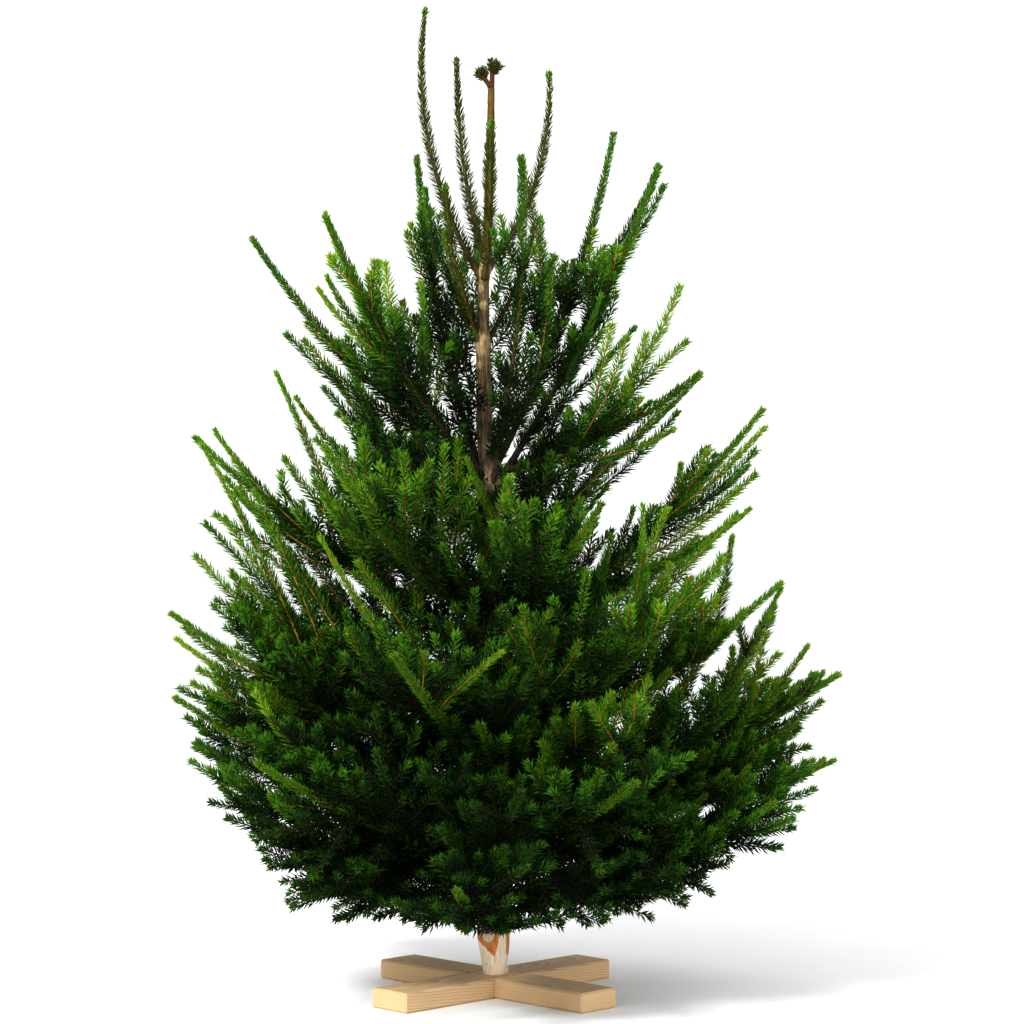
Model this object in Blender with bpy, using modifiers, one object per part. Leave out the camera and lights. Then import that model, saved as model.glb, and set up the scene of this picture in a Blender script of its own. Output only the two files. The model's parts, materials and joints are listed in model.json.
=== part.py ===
"""A cut Norway spruce of 1.5 m, sold as a Christmas tree, standing in a plain wooden cross.

The trunk is one tapering solid with a milled butt, and six whorls of boughs rise from it. Every limb
and twig is one circular arc in an upright plane. Each bough carries a mass of foliage: a stem that
runs on to the bough's leading tip, and side shoots that branch from its yearly nodes by a seeded rule.
A needled shoot is a slim three-sided core whose section swells and shrinks, so that its corners stand
out as sprays of needles. Metres, +Z up. The origin is the middle of the stand's underside, and the
front of the tree faces -Y.
"""

import math
import random
from collections import namedtuple

import bmesh
import bpy
from mathutils import Vector
from mathutils.bvhtree import BVHTree

GAP = 0.0003  # between solids that touch on the real tree
MERGE = 1e-7  # points nearer than this are one

# The stand: two half-lapped boards with a blind socket for the milled butt.
BOARD_LENGTH = 0.440
BOARD_WIDTH = 0.075
BOARD_THICK = 0.030
BOARD_CHAMFER = 0.003
BOARD_TURN = math.radians(45)  # the boards lie as an X seen from the front
SOCKET_FLOOR = 0.006
SOCKET_SIDES = 24

# The trunk, by height above its cut, drift to the right, and radius.
CUT_HEIGHT = SOCKET_FLOOR + GAP
TRUNK = (
    (0.000, 0.0000, 0.0120),
    (0.012, 0.0000, 0.0152),
    (0.037, 0.0004, 0.0192),
    (0.063, -0.0010, 0.0230),
    (0.085, -0.0020, 0.0250),
    (0.130, -0.0025, 0.0252),
    (0.220, -0.0030, 0.0240),
    (0.350, -0.0040, 0.0220),
    (0.545, -0.0075, 0.0190),
    (0.700, -0.0060, 0.0158),
    (0.780, -0.0070, 0.0152),
    (0.860, -0.0160, 0.0122),
    (1.000, -0.0180, 0.0100),
    (1.080, -0.0170, 0.0085),
    (1.125, -0.0120, 0.0070),
)
TRUNK_RESOLUTION = 4
SHARP_ANGLE = math.radians(40)
LIMB_RESOLUTION = 1

# A needled shoot: from its line to the needle tips, and from one ring of tips to the next. Where
# foliage is dense, one shoot stands for a spray of several and is larger than life.
Spray = namedtuple("Spray", "reach pitch")
SLENDER = Spray(0.015, 0.040)
FULL = Spray(0.023, 0.062)
DENSE = Spray(0.031, 0.080)

# A bough: its azimuth (0 right, 90 back, 180 left, 270 front), how far out and up its tip is from the
# middle of its whorl, and how far it curves upward on the way. Angles in degrees.
Bough = namedtuple("Bough", "side azimuth reach rise bend")

# A whorl: its height above the cut, the share of each bough that is a bare limb of its own, the
# nodes where side shoots leave as shares of the bough, the rolls at which they leave (0 and 180 are
# the two sides, 90 is up), its sprays, the thickness of the dense core of its masses, and its boughs.
Whorl = namedtuple("Whorl", "name height bare nodes rolls spray core boughs")
FLAT_ROLLS = (5, 175)
LIFTED_ROLLS = (30, 150)
RISING_ROLLS = (20, 160, 90)
HANGING_ROLLS = (-20, 200)
WHORLS = (
    Whorl("leader", 1.1253, 0, (), (), SLENDER, 0, (
        Bough("", 10, 0.0075, 0.300, 2),
    )),
    Whorl("whorl1", 1.100, 0, (), (), SLENDER, 0, (
        Bough("left", 168, 0.092, 0.400, 40),
        Bough("left_back", 118, 0.1015, 0.335, 30),
        Bough("right", 24, 0.108, 0.306, 45),
        Bough("front", 281, 0.064, 0.215, 32),
    )),
    Whorl("between1", 0.985, 0, (), (), FULL, 0, (
        Bough("left_front", 215, 0.0696, 0.2386, 24),
        Bough("right_back", 52, 0.128, 0.190, 26),
    )),
    Whorl("whorl2", 0.775, 0.28, (0.33, 0.50, 0.67), FLAT_ROLLS, FULL, 0, (
        Bough("right", 6, 0.262, 0.484, 12),
        Bough("right_back", 42, 0.2644, 0.5553, 22),
        Bough("back", 94, 0.260, 0.430, 22),
        Bough("left_back", 132, 0.1740, 0.5123, 22),
        Bough("left", 177, 0.364, 0.373, 25),
        Bough("left_front", 221, 0.314, 0.383, 24),
        Bough("front", 293, 0.130, 0.480, 30),
        Bough("right_front", 336, 0.3426, 0.158, 26),
    )),
    Whorl("whorl3", 0.540, 0.22, (0.28, 0.46, 0.64), FLAT_ROLLS, DENSE, 0.040, (
        Bough("right", 4, 0.420, 0.345, 22),
        Bough("right_back", 70, 0.380, 0.360, 18),
        Bough("left_back", 122, 0.390, 0.370, 18),
        Bough("left", 178, 0.452, 0.302, 18),
        Bough("left_front", 232, 0.380, 0.280, 26),
        Bough("right_front", 300, 0.320, 0.200, 26),
    )),
    Whorl("whorl4", 0.350, 0.20, (0.27, 0.46, 0.65), RISING_ROLLS, DENSE, 0.042, (
        Bough("right", 4, 0.446, 0.268, 18),
        Bough("right_back", 66, 0.440, 0.240, 18),
        Bough("left_back", 132, 0.460, 0.270, 18),
        Bough("left", 192, 0.488, 0.226, 18),
        Bough("left_front", 252, 0.420, 0.180, 26),
        Bough("right_front", 316, 0.400, 0.283, 26),
    )),
    Whorl("whorl5", 0.225, 0, (0.30, 0.48, 0.66), LIFTED_ROLLS, DENSE, 0.044, (
        Bough("right", 6, 0.537, 0.252, 16),
        Bough("back", 88, 0.460, 0.190, 16),
        Bough("left", 168, 0.508, 0.212, 16),
        Bough("left_front", 226, 0.470, 0.150, 20),
        Bough("right_front", 296, 0.460, 0.130, 24),
    )),
    Whorl("whorl6", 0.128, 0, (0.28, 0.46, 0.64), HANGING_ROLLS, DENSE, 0.036, (
        Bough("right", 342, 0.440, 0.170, 24),
        Bough("right_back", 36, 0.450, 0.110, 22),
        Bough("left_back", 120, 0.440, 0.100, 22),
        Bough("left", 196, 0.420, 0.190, 24),
        Bough("front", 264, 0.430, 0.080, 24),
    )),
)
STAGGER = 0.014  # the feet of a whorl's boughs step up and down by this
FOOT_OUT = 0.004  # a bough's line starts this far from the trunk's middle

# A dense mass has a core round its stem, from where its needles begin to this share of the bough.
CORE_END = 0.80
CORE_SHAPE = (0.15, 0.75, 1.0, 0.9, 0.5, 0.12)  # its thickness from end to end, as shares of the most
CORE_TRIES = 5
CORE_SHRINK = 0.8
FEWEST_POINTS = 6  # that each fused shoot or core adds to its mass

# How limbs taper.
BOUGH_STEPS = 4  # along a bare limb
LIMB_RADIUS_PER_METRE = 0.011
LEAST_LIMB_RADIUS = 0.0048
CORE_RADIUS = 0.0045
SUNK_RADIUS = 0.0015  # a side shoot starts inside its parent
TIP_RADIUS = 0.0020

# The rule for side shoots.
NODE_STEP = 0.007  # between the feet of a node's shoots
DIVERGENCE = (36, 54)  # degrees from the parent's line
ROLL_SPREAD = 16
SIDE_SHARE = (0.60, 0.95)  # of what is left of the parent beyond the node
SIDE_BEND = (14, 32)  # degrees upward
STEEPEST = math.radians(85)
LEAST_BEND = math.radians(3)
SHORTEST_SHOOT = 0.080
TRIES = 6
SHRINK = 0.92  # a shoot that would touch another mass is tried again, a little shorter, or skipped
CLEAR = 0.0010

# Where needles stand on a shoot.
CREST = 0.72  # how far forward in its pitch a ring of tips stands
RING_TURN = math.radians(30)
RING_TURNS = 4  # until a ring stands as the first did
ROOT_BARE = 0.024
NODE_BARE = 0.013
FADE_FROM = 0.6  # beyond this share of a shoot its needles shorten
FADE = 0.5


class Arc:
    """A limb's line: a circular arc in an upright plane, from start, rising at slope and then bending."""

    def __init__(self, start, azimuth, slope, bend, length):
        self.start = Vector(start)
        self.azimuth = azimuth
        self.slope = slope
        self.bend = bend
        self.length = length

    @classmethod
    def to_tip(cls, start, azimuth, reach, rise, bend):
        arc_over_chord = (bend / 2) / math.sin(bend / 2)
        slope = math.atan2(rise, reach) - bend / 2
        return cls(start, azimuth, slope, bend, math.hypot(reach, rise) * arc_over_chord)

    def at(self, share):
        turned = self.slope + self.bend * share
        radius = self.length / self.bend
        run = radius * (math.sin(turned) - math.sin(self.slope))
        rise = radius * (math.cos(self.slope) - math.cos(turned))
        return self.start + Vector((math.cos(self.azimuth) * run, math.sin(self.azimuth) * run, rise))

    def tangent(self, share):
        turned = self.slope + self.bend * share
        flat = math.cos(turned)
        return Vector((math.cos(self.azimuth) * flat, math.sin(self.azimuth) * flat, math.sin(turned)))

    def beyond(self, share):
        """The rest of the arc from a share of it on."""
        rest = 1 - share
        slope = self.slope + self.bend * share
        return Arc(self.at(share), self.azimuth, slope, self.bend * rest, self.length * rest)


def trunk_point(height):
    """The trunk's centre at a height above its cut."""
    for (low, drift_low, _), (high, drift_high, _) in zip(TRUNK, TRUNK[1:]):
        if height <= high:
            share = (height - low) / (high - low)
            return Vector((drift_low + (drift_high - drift_low) * share, 0, CUT_HEIGHT + height))
    return Vector((TRUNK[-1][1], 0, CUT_HEIGHT + height))


def bough_line(whorl, order):
    """The line of a whorl's bough. Neighbours' feet are staggered, and tips stay where they are."""
    bough = whorl.boughs[order]
    lift = STAGGER * (order * 2 % 3 - 1) if len(whorl.boughs) > 2 else 0
    azimuth = math.radians(bough.azimuth)
    outward = Vector((math.cos(azimuth), math.sin(azimuth), 0))
    foot = FOOT_OUT if whorl.name != "leader" else 0
    return Arc.to_tip(
        trunk_point(whorl.height + lift) + outward * foot,
        azimuth,
        bough.reach - foot,
        bough.rise - lift,
        math.radians(bough.bend),
    )


def side_shoot(parent, node, roll, dice):
    """A shoot that leaves the parent's node at a roll about the parent's line."""
    along = parent.tangent(node)
    side = Vector((math.sin(parent.azimuth), -math.cos(parent.azimuth), 0))
    upper = side.cross(along)
    apart = math.radians(dice.uniform(*DIVERGENCE))
    roll = math.radians(roll + dice.uniform(-ROLL_SPREAD, ROLL_SPREAD))
    across = side * math.cos(roll) + upper * math.sin(roll)
    heading = along * math.cos(apart) + across * math.sin(apart)
    slope = math.asin(max(-1, min(1, heading.z)))
    bend = max(LEAST_BEND, min(math.radians(dice.uniform(*SIDE_BEND)), STEEPEST - slope))
    length = parent.length * (1 - node) * dice.uniform(*SIDE_SHARE)
    return Arc(parent.at(node), math.atan2(heading.y, heading.x), slope, bend, length)


# Solids.


def material(name, colour, roughness):
    made = bpy.data.materials.new(name)
    made.use_nodes = True
    shader = made.node_tree.nodes["Principled BSDF"]
    shader.inputs["Base Color"].default_value = (*colour, 1)
    shader.inputs["Roughness"].default_value = roughness
    shader.inputs["Metallic"].default_value = 0
    return made


def tube(name, rings, collection, resolution=None, section=None):
    """A closed mesh through rings of (point, radius, turn): round, or of a section's shape."""
    curve = bpy.data.curves.new(name, "CURVE")
    curve.dimensions = "3D"
    curve.use_fill_caps = True
    if section:
        curve.bevel_mode = "OBJECT"
        curve.bevel_object = section
    else:
        curve.bevel_depth = 1
        curve.bevel_resolution = resolution
    spline = curve.splines.new("POLY")
    spline.points.add(len(rings) - 1)
    for point, (place, radius, turn) in zip(spline.points, rings):
        point.co = (*place, 1)
        point.radius = radius
        point.tilt = turn
    return welded_mesh(bpy.data.objects.new(name, curve), collection)


def welded_mesh(obj, collection):
    """Turns a curve object into a mesh object of the same name, with its caps welded on."""
    collection.objects.link(obj)
    bpy.context.view_layer.update()
    mesh = bpy.data.meshes.new_from_object(obj.evaluated_get(bpy.context.evaluated_depsgraph_get()))
    name = obj.name
    place = obj.matrix_world.copy()
    curve = obj.data
    bpy.data.objects.remove(obj)
    bpy.data.curves.remove(curve)
    shaped = bmesh.new()
    shaped.from_mesh(mesh)
    bmesh.ops.remove_doubles(shaped, verts=shaped.verts, dist=MERGE)
    bmesh.ops.triangulate(shaped, faces=shaped.faces)  # a twisted quad isn't flat, and Booleans need flat
    bmesh.ops.recalc_face_normals(shaped, faces=shaped.faces)
    shaped.to_mesh(mesh)
    shaped.free()
    made = bpy.data.objects.new(name, mesh)
    made.matrix_world = place
    collection.objects.link(made)
    return made


def boolean(obj, operation, solver="EXACT", other=None, collection=None):
    """Applies a Boolean modifier with one object or a collection."""
    modifier = obj.modifiers.new(operation.lower(), "BOOLEAN")
    modifier.operation = operation
    modifier.solver = solver
    if collection:
        modifier.operand_type = "COLLECTION"
        modifier.collection = collection
    else:
        modifier.object = other
    bpy.context.view_layer.update()
    mesh = bpy.data.meshes.new_from_object(obj.evaluated_get(bpy.context.evaluated_depsgraph_get()))
    obj.modifiers.remove(modifier)
    old = obj.data
    obj.data = mesh
    return old


def keep_outer_shell(obj):
    """Fills sealed hollows and drops loose scraps: only the shell of the greatest span stays."""
    shaped = bmesh.new()
    shaped.from_mesh(obj.data)
    shells = []
    left = set(shaped.verts)
    while left:
        shell = set()
        edge = [left.pop()]
        while edge:
            vertex = edge.pop()
            shell.add(vertex)
            for link in vertex.link_edges:
                other = link.other_vert(vertex)
                if other in left:
                    left.discard(other)
                    edge.append(other)
        shells.append(shell)
    shells.sort(key=lambda shell: max(v.co.z for v in shell) - min(v.co.z for v in shell))
    extra = [vertex for shell in shells[:-1] for vertex in shell]
    bmesh.ops.delete(shaped, geom=extra, context="VERTS")
    shaped.to_mesh(obj.data)
    shaped.free()


def surface(obj):
    """A mesh object's surface, to test for touching."""
    points = [vertex.co for vertex in obj.data.vertices]
    faces = [face.vertices[:] for face in obj.data.polygons]
    return BVHTree.FromPolygons(points, faces, epsilon=CLEAR)


def bare_end(whorl, line):
    """The share of a bough's line where its needles begin."""
    if whorl.bare:
        return whorl.bare + ROOT_BARE / line.length
    if whorl.nodes:
        return whorl.nodes[0] - 2 * NODE_BARE / line.length
    return ROOT_BARE / line.length * (1 if whorl.name == "leader" else 2)


def side_shoots(name, whorl, line, taken, collection, section):
    """Adds the side shoots that have room, and returns how many. Each is tried a few times."""
    dice = random.Random(name)
    others = [space for other, spaces in taken.items() if other != name for space in spaces]
    count = 0
    for node in whorl.nodes:
        for order, roll in enumerate(whorl.rolls):
            foot = node + NODE_STEP * (order - 0.6) / line.length
            for attempt in range(TRIES):
                twig = side_shoot(line, foot, roll, dice)
                twig.length *= SHRINK**attempt
                if twig.length < SHORTEST_SHOOT:
                    continue
                made = shoot(
                    "side_shoot", twig, whorl.spray, collection, section,
                    needles_from=ROOT_BARE / twig.length,
                    root=SUNK_RADIUS,
                )
                space = surface(made)
                if not any(space.overlap(other) for other in others):
                    taken[name].append(space)
                    count += 1
                    break
                bpy.data.objects.remove(made)
    return count


def dense_core(name, whorl, line, taken, collection):
    """Adds the core of a dense mass, as thick as the masses round it allow, and returns its thickness."""
    others = [space for other, spaces in taken.items() if other != name for space in spaces]
    first = bare_end(whorl, line)
    last = len(CORE_SHAPE) - 1
    for attempt in range(CORE_TRIES):
        thick = whorl.core * CORE_SHRINK**attempt
        rings = [
            (line.at(first + (CORE_END - first) * step / last), thick * share, 0)
            for step, share in enumerate(CORE_SHAPE)
        ]
        made = tube("core", rings, collection, LIMB_RESOLUTION)
        space = surface(made)
        if not any(space.overlap(other) for other in others):
            taken[name].append(space)
            return thick
        bpy.data.objects.remove(made)
    return 0


def shoot_section(cutters):
    """A triangle of unit reach, the section of every needled shoot."""
    curve = bpy.data.curves.new("shoot_section", "CURVE")
    curve.dimensions = "2D"
    curve.fill_mode = "NONE"
    spline = curve.splines.new("POLY")
    spline.points.add(2)
    spline.use_cyclic_u = True
    for corner, point in enumerate(spline.points):
        angle = math.radians(90 + 120 * corner)
        point.co = (math.cos(angle), math.sin(angle), 0, 1)
    made = bpy.data.objects.new("shoot_section", curve)
    cutters.objects.link(made)
    return made


def needled_rings(arc, first, last, spray, start_turn):
    """Rings along a needled stretch: the core, then a ring of needle tips, over and over."""
    rings = []
    count = max(1, round(arc.length * (last - first) / spray.pitch))
    step = (last - first) / count
    for order in range(count):
        base = first + step * order
        crest = base + step * CREST
        fade = 1 - FADE * max(0, (crest - FADE_FROM) / (1 - FADE_FROM))
        turn = RING_TURN * ((start_turn + order) % RING_TURNS)
        rings.append((arc.at(base), CORE_RADIUS * fade, turn))
        rings.append((arc.at(crest), spray.reach * fade, turn))
    return rings


def shoot(name, arc, spray, collection, section, needles_from, nodes=(), root=CORE_RADIUS):
    """A needled shoot, bare at its root and round each node."""
    bare = NODE_BARE / arc.length
    marks = [needles_from]
    for node in nodes:
        marks += [node - bare, node + bare]
    marks.append(1)
    rings = [(arc.at(0), root, 0)]
    for first, last in zip(marks[::2], marks[1::2]):
        if (last - first) * arc.length > spray.pitch / 2:
            rings += needled_rings(arc, first, last, spray, len(rings))
        if last < 1:
            rings.append((arc.at(last), CORE_RADIUS, 0))
    rings.append((arc.at(1), TIP_RADIUS, 0))
    return tube(name, rings, collection, section=section)


# The tree's parts.


def make_trunk(tree, cutters, bark):
    """The trunk, and a copy 0.3 mm larger that trims the feet of limbs."""
    rings = [(Vector((drift, 0, CUT_HEIGHT + up)), radius, 0) for up, drift, radius in TRUNK]
    trunk = tube("trunk", rings, tree, TRUNK_RESOLUTION)
    trunk.data.materials.append(bark)
    trunk.data.shade_smooth()
    trunk.data.set_sharp_from_angle(angle=SHARP_ANGLE)
    larger = [(place, radius + GAP, turn) for place, radius, turn in rings]
    larger[-1][0].z += GAP
    return trunk, tube("trunk_cutter", larger, cutters, TRUNK_RESOLUTION)


def cube(name, size, centre, turn, collection):
    bpy.ops.mesh.primitive_cube_add(size=1, location=centre)
    made = bpy.context.object
    made.name = name
    made.scale = size
    bpy.ops.object.transform_apply(location=False, rotation=False, scale=True)
    made.rotation_euler.z = turn
    made.users_collection[0].objects.unlink(made)
    collection.objects.link(made)
    return made


def make_socket(cutters):
    """The socket's cutter, a little wider than the butt is at the boards' top."""
    (low, _, radius_low), (high, _, radius_high) = TRUNK[1], TRUNK[2]
    share = (BOARD_THICK - CUT_HEIGHT - low) / (high - low)
    bpy.ops.mesh.primitive_cylinder_add(
        vertices=SOCKET_SIDES,
        radius=radius_low + (radius_high - radius_low) * share + 2 * GAP,
        depth=BOARD_THICK,
        location=(0, 0, SOCKET_FLOOR + BOARD_THICK / 2),
    )
    socket = bpy.context.object
    socket.name = "socket_cutter"
    socket.users_collection[0].objects.unlink(socket)
    cutters.objects.link(socket)
    return socket


def make_stand(tree, cutters, wood):
    """Two boards, half-lapped where they cross, with a socket cut in both."""
    socket = make_socket(cutters)
    middle = BOARD_THICK / 2
    for name, side in (("stand_board_upper", 1), ("stand_board_lower", -1)):
        board_size = (BOARD_LENGTH, BOARD_WIDTH, BOARD_THICK)
        board = cube(name, board_size, (0, 0, middle), BOARD_TURN * side, tree)
        chamfer = board.modifiers.new("chamfer", "BEVEL")
        chamfer.width = BOARD_CHAMFER
        chamfer.segments = 1
        lap_size = (BOARD_WIDTH + 2 * GAP, BOARD_WIDTH * 1.5, BOARD_THICK + GAP)
        lap_centre = (0, 0, middle - side * middle)
        lap = cube(name + "_lap_cutter", lap_size, lap_centre, BOARD_TURN * side, cutters)
        for cutter in (lap, socket):
            cut = board.modifiers.new(cutter.name, "BOOLEAN")
            cut.operation = "DIFFERENCE"
            cut.object = cutter
        board.data.materials.append(wood)


def foot_radius(line):
    return max(LEAST_LIMB_RADIUS, LIMB_RADIUS_PER_METRE * line.length)


def make_bough(name, whorl, line, tree, trunk_cutter, bark):
    """The bare limb from the trunk to where its mass of foliage begins."""
    foot = foot_radius(line)
    end = whorl.bare - GAP / 2 / line.length
    rings = [
        (line.at(end * step / BOUGH_STEPS), foot + (CORE_RADIUS - foot) * step / BOUGH_STEPS, 0)
        for step in range(BOUGH_STEPS + 1)
    ]
    bough = tube(name, rings, tree, LIMB_RESOLUTION)
    boolean(bough, "DIFFERENCE", other=trunk_cutter)
    keep_outer_shell(bough)
    bough.data.materials.clear()
    bough.data.materials.append(bark)
    return bough


def make_stem(name, whorl, line, tree, section, trunk_cutter):
    """A mass's leading shoot, from its bough's tip or from the trunk."""
    start = whorl.bare + GAP / 2 / line.length if whorl.bare else 0
    if whorl.name == "leader":
        start = GAP / line.length
    stem = shoot(
        name, line.beyond(start), whorl.spray, tree, section,
        needles_from=(bare_end(whorl, line) - start) / (1 - start),
        nodes=[(node - start) / (1 - start) for node in whorl.nodes],
        root=CORE_RADIUS if whorl.bare or not whorl.nodes else foot_radius(line),
    )
    if not whorl.bare and whorl.name != "leader":
        boolean(stem, "DIFFERENCE", other=trunk_cutter)
        keep_outer_shell(stem)
    return stem


def is_sound(mesh, least):
    """Whether a fused mesh is closed and has at least as many points as its stem had."""
    shaped = bmesh.new()
    shaped.from_mesh(mesh)
    bmesh.ops.remove_doubles(shaped, verts=shaped.verts, dist=MERGE)
    sound = all(edge.is_manifold for edge in shaped.edges) and len(shaped.verts) >= least
    shaped.free()
    return sound


def fuse(mass, shoots):
    """Joins a mass's side shoots to its stem in one union, and removes them."""
    stem = mass.data
    while shoots.objects:
        for solver in ("EXACT", "MANIFOLD"):
            mass.data = stem
            boolean(mass, "UNION", solver, collection=shoots)
            keep_outer_shell(mass)
            if is_sound(mass.data, len(stem.vertices) + FEWEST_POINTS * len(shoots.objects)):
                for twig in list(shoots.objects):
                    bpy.data.objects.remove(twig)
                return
            print(f"{mass.name}: {solver} union of {len(shoots.objects)} shoots isn't sound")
        bpy.data.objects.remove(shoots.objects[-1])
    mass.data = stem


def main():
    for obj in list(bpy.data.objects):
        bpy.data.objects.remove(obj)
    tree = bpy.data.collections.new("spruce_tree")
    cutters = bpy.data.collections.new("cutters")
    for collection in (tree, cutters):
        bpy.context.scene.collection.children.link(collection)
    bark = material("bark", (0.30, 0.21, 0.12), 0.85)
    needles = material("needles", (0.045, 0.14, 0.03), 0.5)
    board_wood = material("board_wood", (0.62, 0.47, 0.30), 0.7)
    section = shoot_section(cutters)
    trunk, trunk_cutter = make_trunk(tree, cutters, bark)
    make_stand(tree, cutters, board_wood)

    # Every limb and leading shoot stands before any side shoot is tried.
    taken = {"trunk": [surface(trunk)]}
    masses = {}
    for whorl in WHORLS:
        for order, bough in enumerate(whorl.boughs):
            name = f"{whorl.name}_{bough.side}".strip("_")
            line = bough_line(whorl, order)
            stem = make_stem(name + "_foliage", whorl, line, tree, section, trunk_cutter)
            masses[name] = (whorl, line, stem)
            taken[name] = [surface(stem)]
            if whorl.bare:
                limb = make_bough(name + "_bough", whorl, line, tree, trunk_cutter, bark)
                taken[name + "_bough"] = [surface(limb)]

    fused = {}
    for name, (whorl, line, _) in masses.items():
        fused[name] = bpy.data.collections.new(name + "_side_shoots")
        cutters.children.link(fused[name])
        if whorl.core:
            thick = dense_core(name, whorl, line, taken, fused[name])
            print(f"{name}: core of {thick * 1000:.0f} mm")

    total = 0
    for name, (whorl, line, mass) in masses.items():
        count = side_shoots(name, whorl, line, taken, fused[name], section)
        fuse(mass, fused[name])
        mass.data.materials.clear()
        mass.data.materials.append(needles)
        triangles = sum(len(face.vertices) - 2 for face in mass.data.polygons)
        total += triangles
        print(f"{name}: {count} side shoots, {triangles} triangles")
    print(total, "triangles of foliage")
    for cutter in cutters.all_objects:
        cutter.hide_render = True
        cutter.display_type = "WIRE"


main()
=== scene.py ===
# %% [markdown]
# # A cut spruce on a wooden cross
# This is a young Norway spruce, cut at 1.5 m and set in a plain half-lapped stand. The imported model
# gives its frame: one trunk, bare boughs, masses of foliage and two boards. The masses there are
# coarse, so this lesson grows the same boughs again by the same rule, and carries them on to twigs,
# buds and single needles. The trunk and boughs get real bark, and the boards get real grain.

# %% Load the frame
import json
import math
import random
from collections import namedtuple

import bmesh
import bpy
import numpy as np
from mathutils import Matrix, Vector, noise

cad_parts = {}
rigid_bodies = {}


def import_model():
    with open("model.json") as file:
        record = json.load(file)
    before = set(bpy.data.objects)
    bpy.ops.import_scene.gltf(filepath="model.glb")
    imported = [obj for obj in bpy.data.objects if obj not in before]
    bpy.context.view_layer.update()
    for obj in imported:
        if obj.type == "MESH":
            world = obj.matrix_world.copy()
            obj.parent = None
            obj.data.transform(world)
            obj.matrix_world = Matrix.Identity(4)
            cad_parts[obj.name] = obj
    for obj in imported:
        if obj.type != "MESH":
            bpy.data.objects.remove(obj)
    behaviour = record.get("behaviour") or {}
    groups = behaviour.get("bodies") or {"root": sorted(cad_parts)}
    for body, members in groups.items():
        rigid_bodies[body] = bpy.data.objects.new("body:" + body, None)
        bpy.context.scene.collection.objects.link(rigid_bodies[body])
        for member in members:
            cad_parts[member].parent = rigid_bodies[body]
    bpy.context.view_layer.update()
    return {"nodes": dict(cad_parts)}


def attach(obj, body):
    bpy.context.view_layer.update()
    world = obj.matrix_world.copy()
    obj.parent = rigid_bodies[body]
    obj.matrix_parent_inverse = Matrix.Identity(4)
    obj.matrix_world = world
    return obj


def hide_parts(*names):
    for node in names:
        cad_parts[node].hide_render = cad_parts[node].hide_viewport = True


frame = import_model()
BODY = "root"
FOLIAGE_NODES = sorted(name for name in frame["nodes"] if name.endswith("_foliage"))
BOUGH_NODES = sorted(name for name in frame["nodes"] if name.endswith("_bough"))
print(len(FOLIAGE_NODES), "masses,", len(BOUGH_NODES), "bare boughs")

# %% [markdown]
# ## Camera
# The tree stands upright and is seen square on, from about the middle of its height. A long lens at
# 4.2 m keeps the trunk straight and lets the front boughs come forward a little.

# %% Set up the camera
CAMERA_BACK = 4.2  # metres
CAMERA_RIGHT = 0.0266
CAMERA_HEIGHT = 0.7353
METRES_PER_PIXEL = 0.00153  # at the trunk
PICTURE_PIXELS = 1024
SENSOR = 36  # millimetres

camera = bpy.data.objects.new("camera", bpy.data.cameras.new("camera"))
bpy.context.scene.collection.objects.link(camera)
camera.location = (CAMERA_RIGHT, -CAMERA_BACK, CAMERA_HEIGHT)
camera.rotation_euler = (math.radians(90), 0, 0)
camera.data.sensor_width = SENSOR
camera.data.lens = SENSOR * CAMERA_BACK / (METRES_PER_PIXEL * PICTURE_PIXELS)
bpy.context.scene.camera = camera
print("lens", round(camera.data.lens, 1), "mm")

# %% [markdown]
# ## Floor, backdrop and light
# A pale sweep has no edge to distract from a dark green outline. One large soft lamp, high on the
# left and in front, lights the tips and leaves the inside of the crown in its own shade. A weaker
# one on the right keeps that side readable.

# %% Lay the floor and hang the lamps
FLOOR_RADIUS = 60.0
FLOOR_SIDES = 64
SKY_STRENGTH = 1.15
GAMMA = 0.8  # deepens the greens


def fill(tree, node, inputs):
    """Gives a node's inputs, by name or place, values or other nodes' outputs."""
    for name, value in inputs.items():
        if isinstance(value, bpy.types.NodeSocket):
            tree.links.new(value, node.inputs[name])
        else:
            node.inputs[name].default_value = value


def node_in(tree, kind, inputs=None, **settings):
    """Adds a node, with its settings and its inputs."""
    made = tree.nodes.new(kind)
    for name, value in settings.items():
        setattr(made, name, value)
    fill(tree, made, inputs or {})
    return made


def math_in(tree, operation, *values):
    """A Math node's result."""
    return node_in(tree, "ShaderNodeMath", dict(enumerate(values)), operation=operation).outputs[0]


def vector_in(tree, operation, *values):
    """A Vector Math node's result."""
    return node_in(
        tree, "ShaderNodeVectorMath", dict(enumerate(values)), operation=operation
    ).outputs[0]


def weighted(tree, first, first_share, second, second_share):
    """The sum of two values, each times its share."""
    rest = math_in(tree, "MULTIPLY", second, second_share)
    return math_in(tree, "MULTIPLY_ADD", first, first_share, rest)


def place_in(tree):
    """Object coordinates, which stay with the piece."""
    return node_in(tree, "ShaderNodeTexCoord").outputs["Object"]


def noise_in(tree, place, scale, detail, **inputs):
    """A noise between nought and one."""
    return node_in(tree, "ShaderNodeTexNoise", {
        "Vector": place, "Scale": scale, "Detail": detail, **inputs,
    }).outputs["Fac"]


def bump_in(tree, height, strength, depth):
    """A bump that is at most so many metres deep, for a shader's Normal."""
    return node_in(tree, "ShaderNodeBump", {
        "Height": height, "Strength": strength, "Distance": depth,
    }).outputs[0]


def plain_finish(name):
    """A material, its tree, and its shader."""
    made = bpy.data.materials.new(name)
    made.use_nodes = True
    return made, made.node_tree, made.node_tree.nodes["Principled BSDF"]


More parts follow.
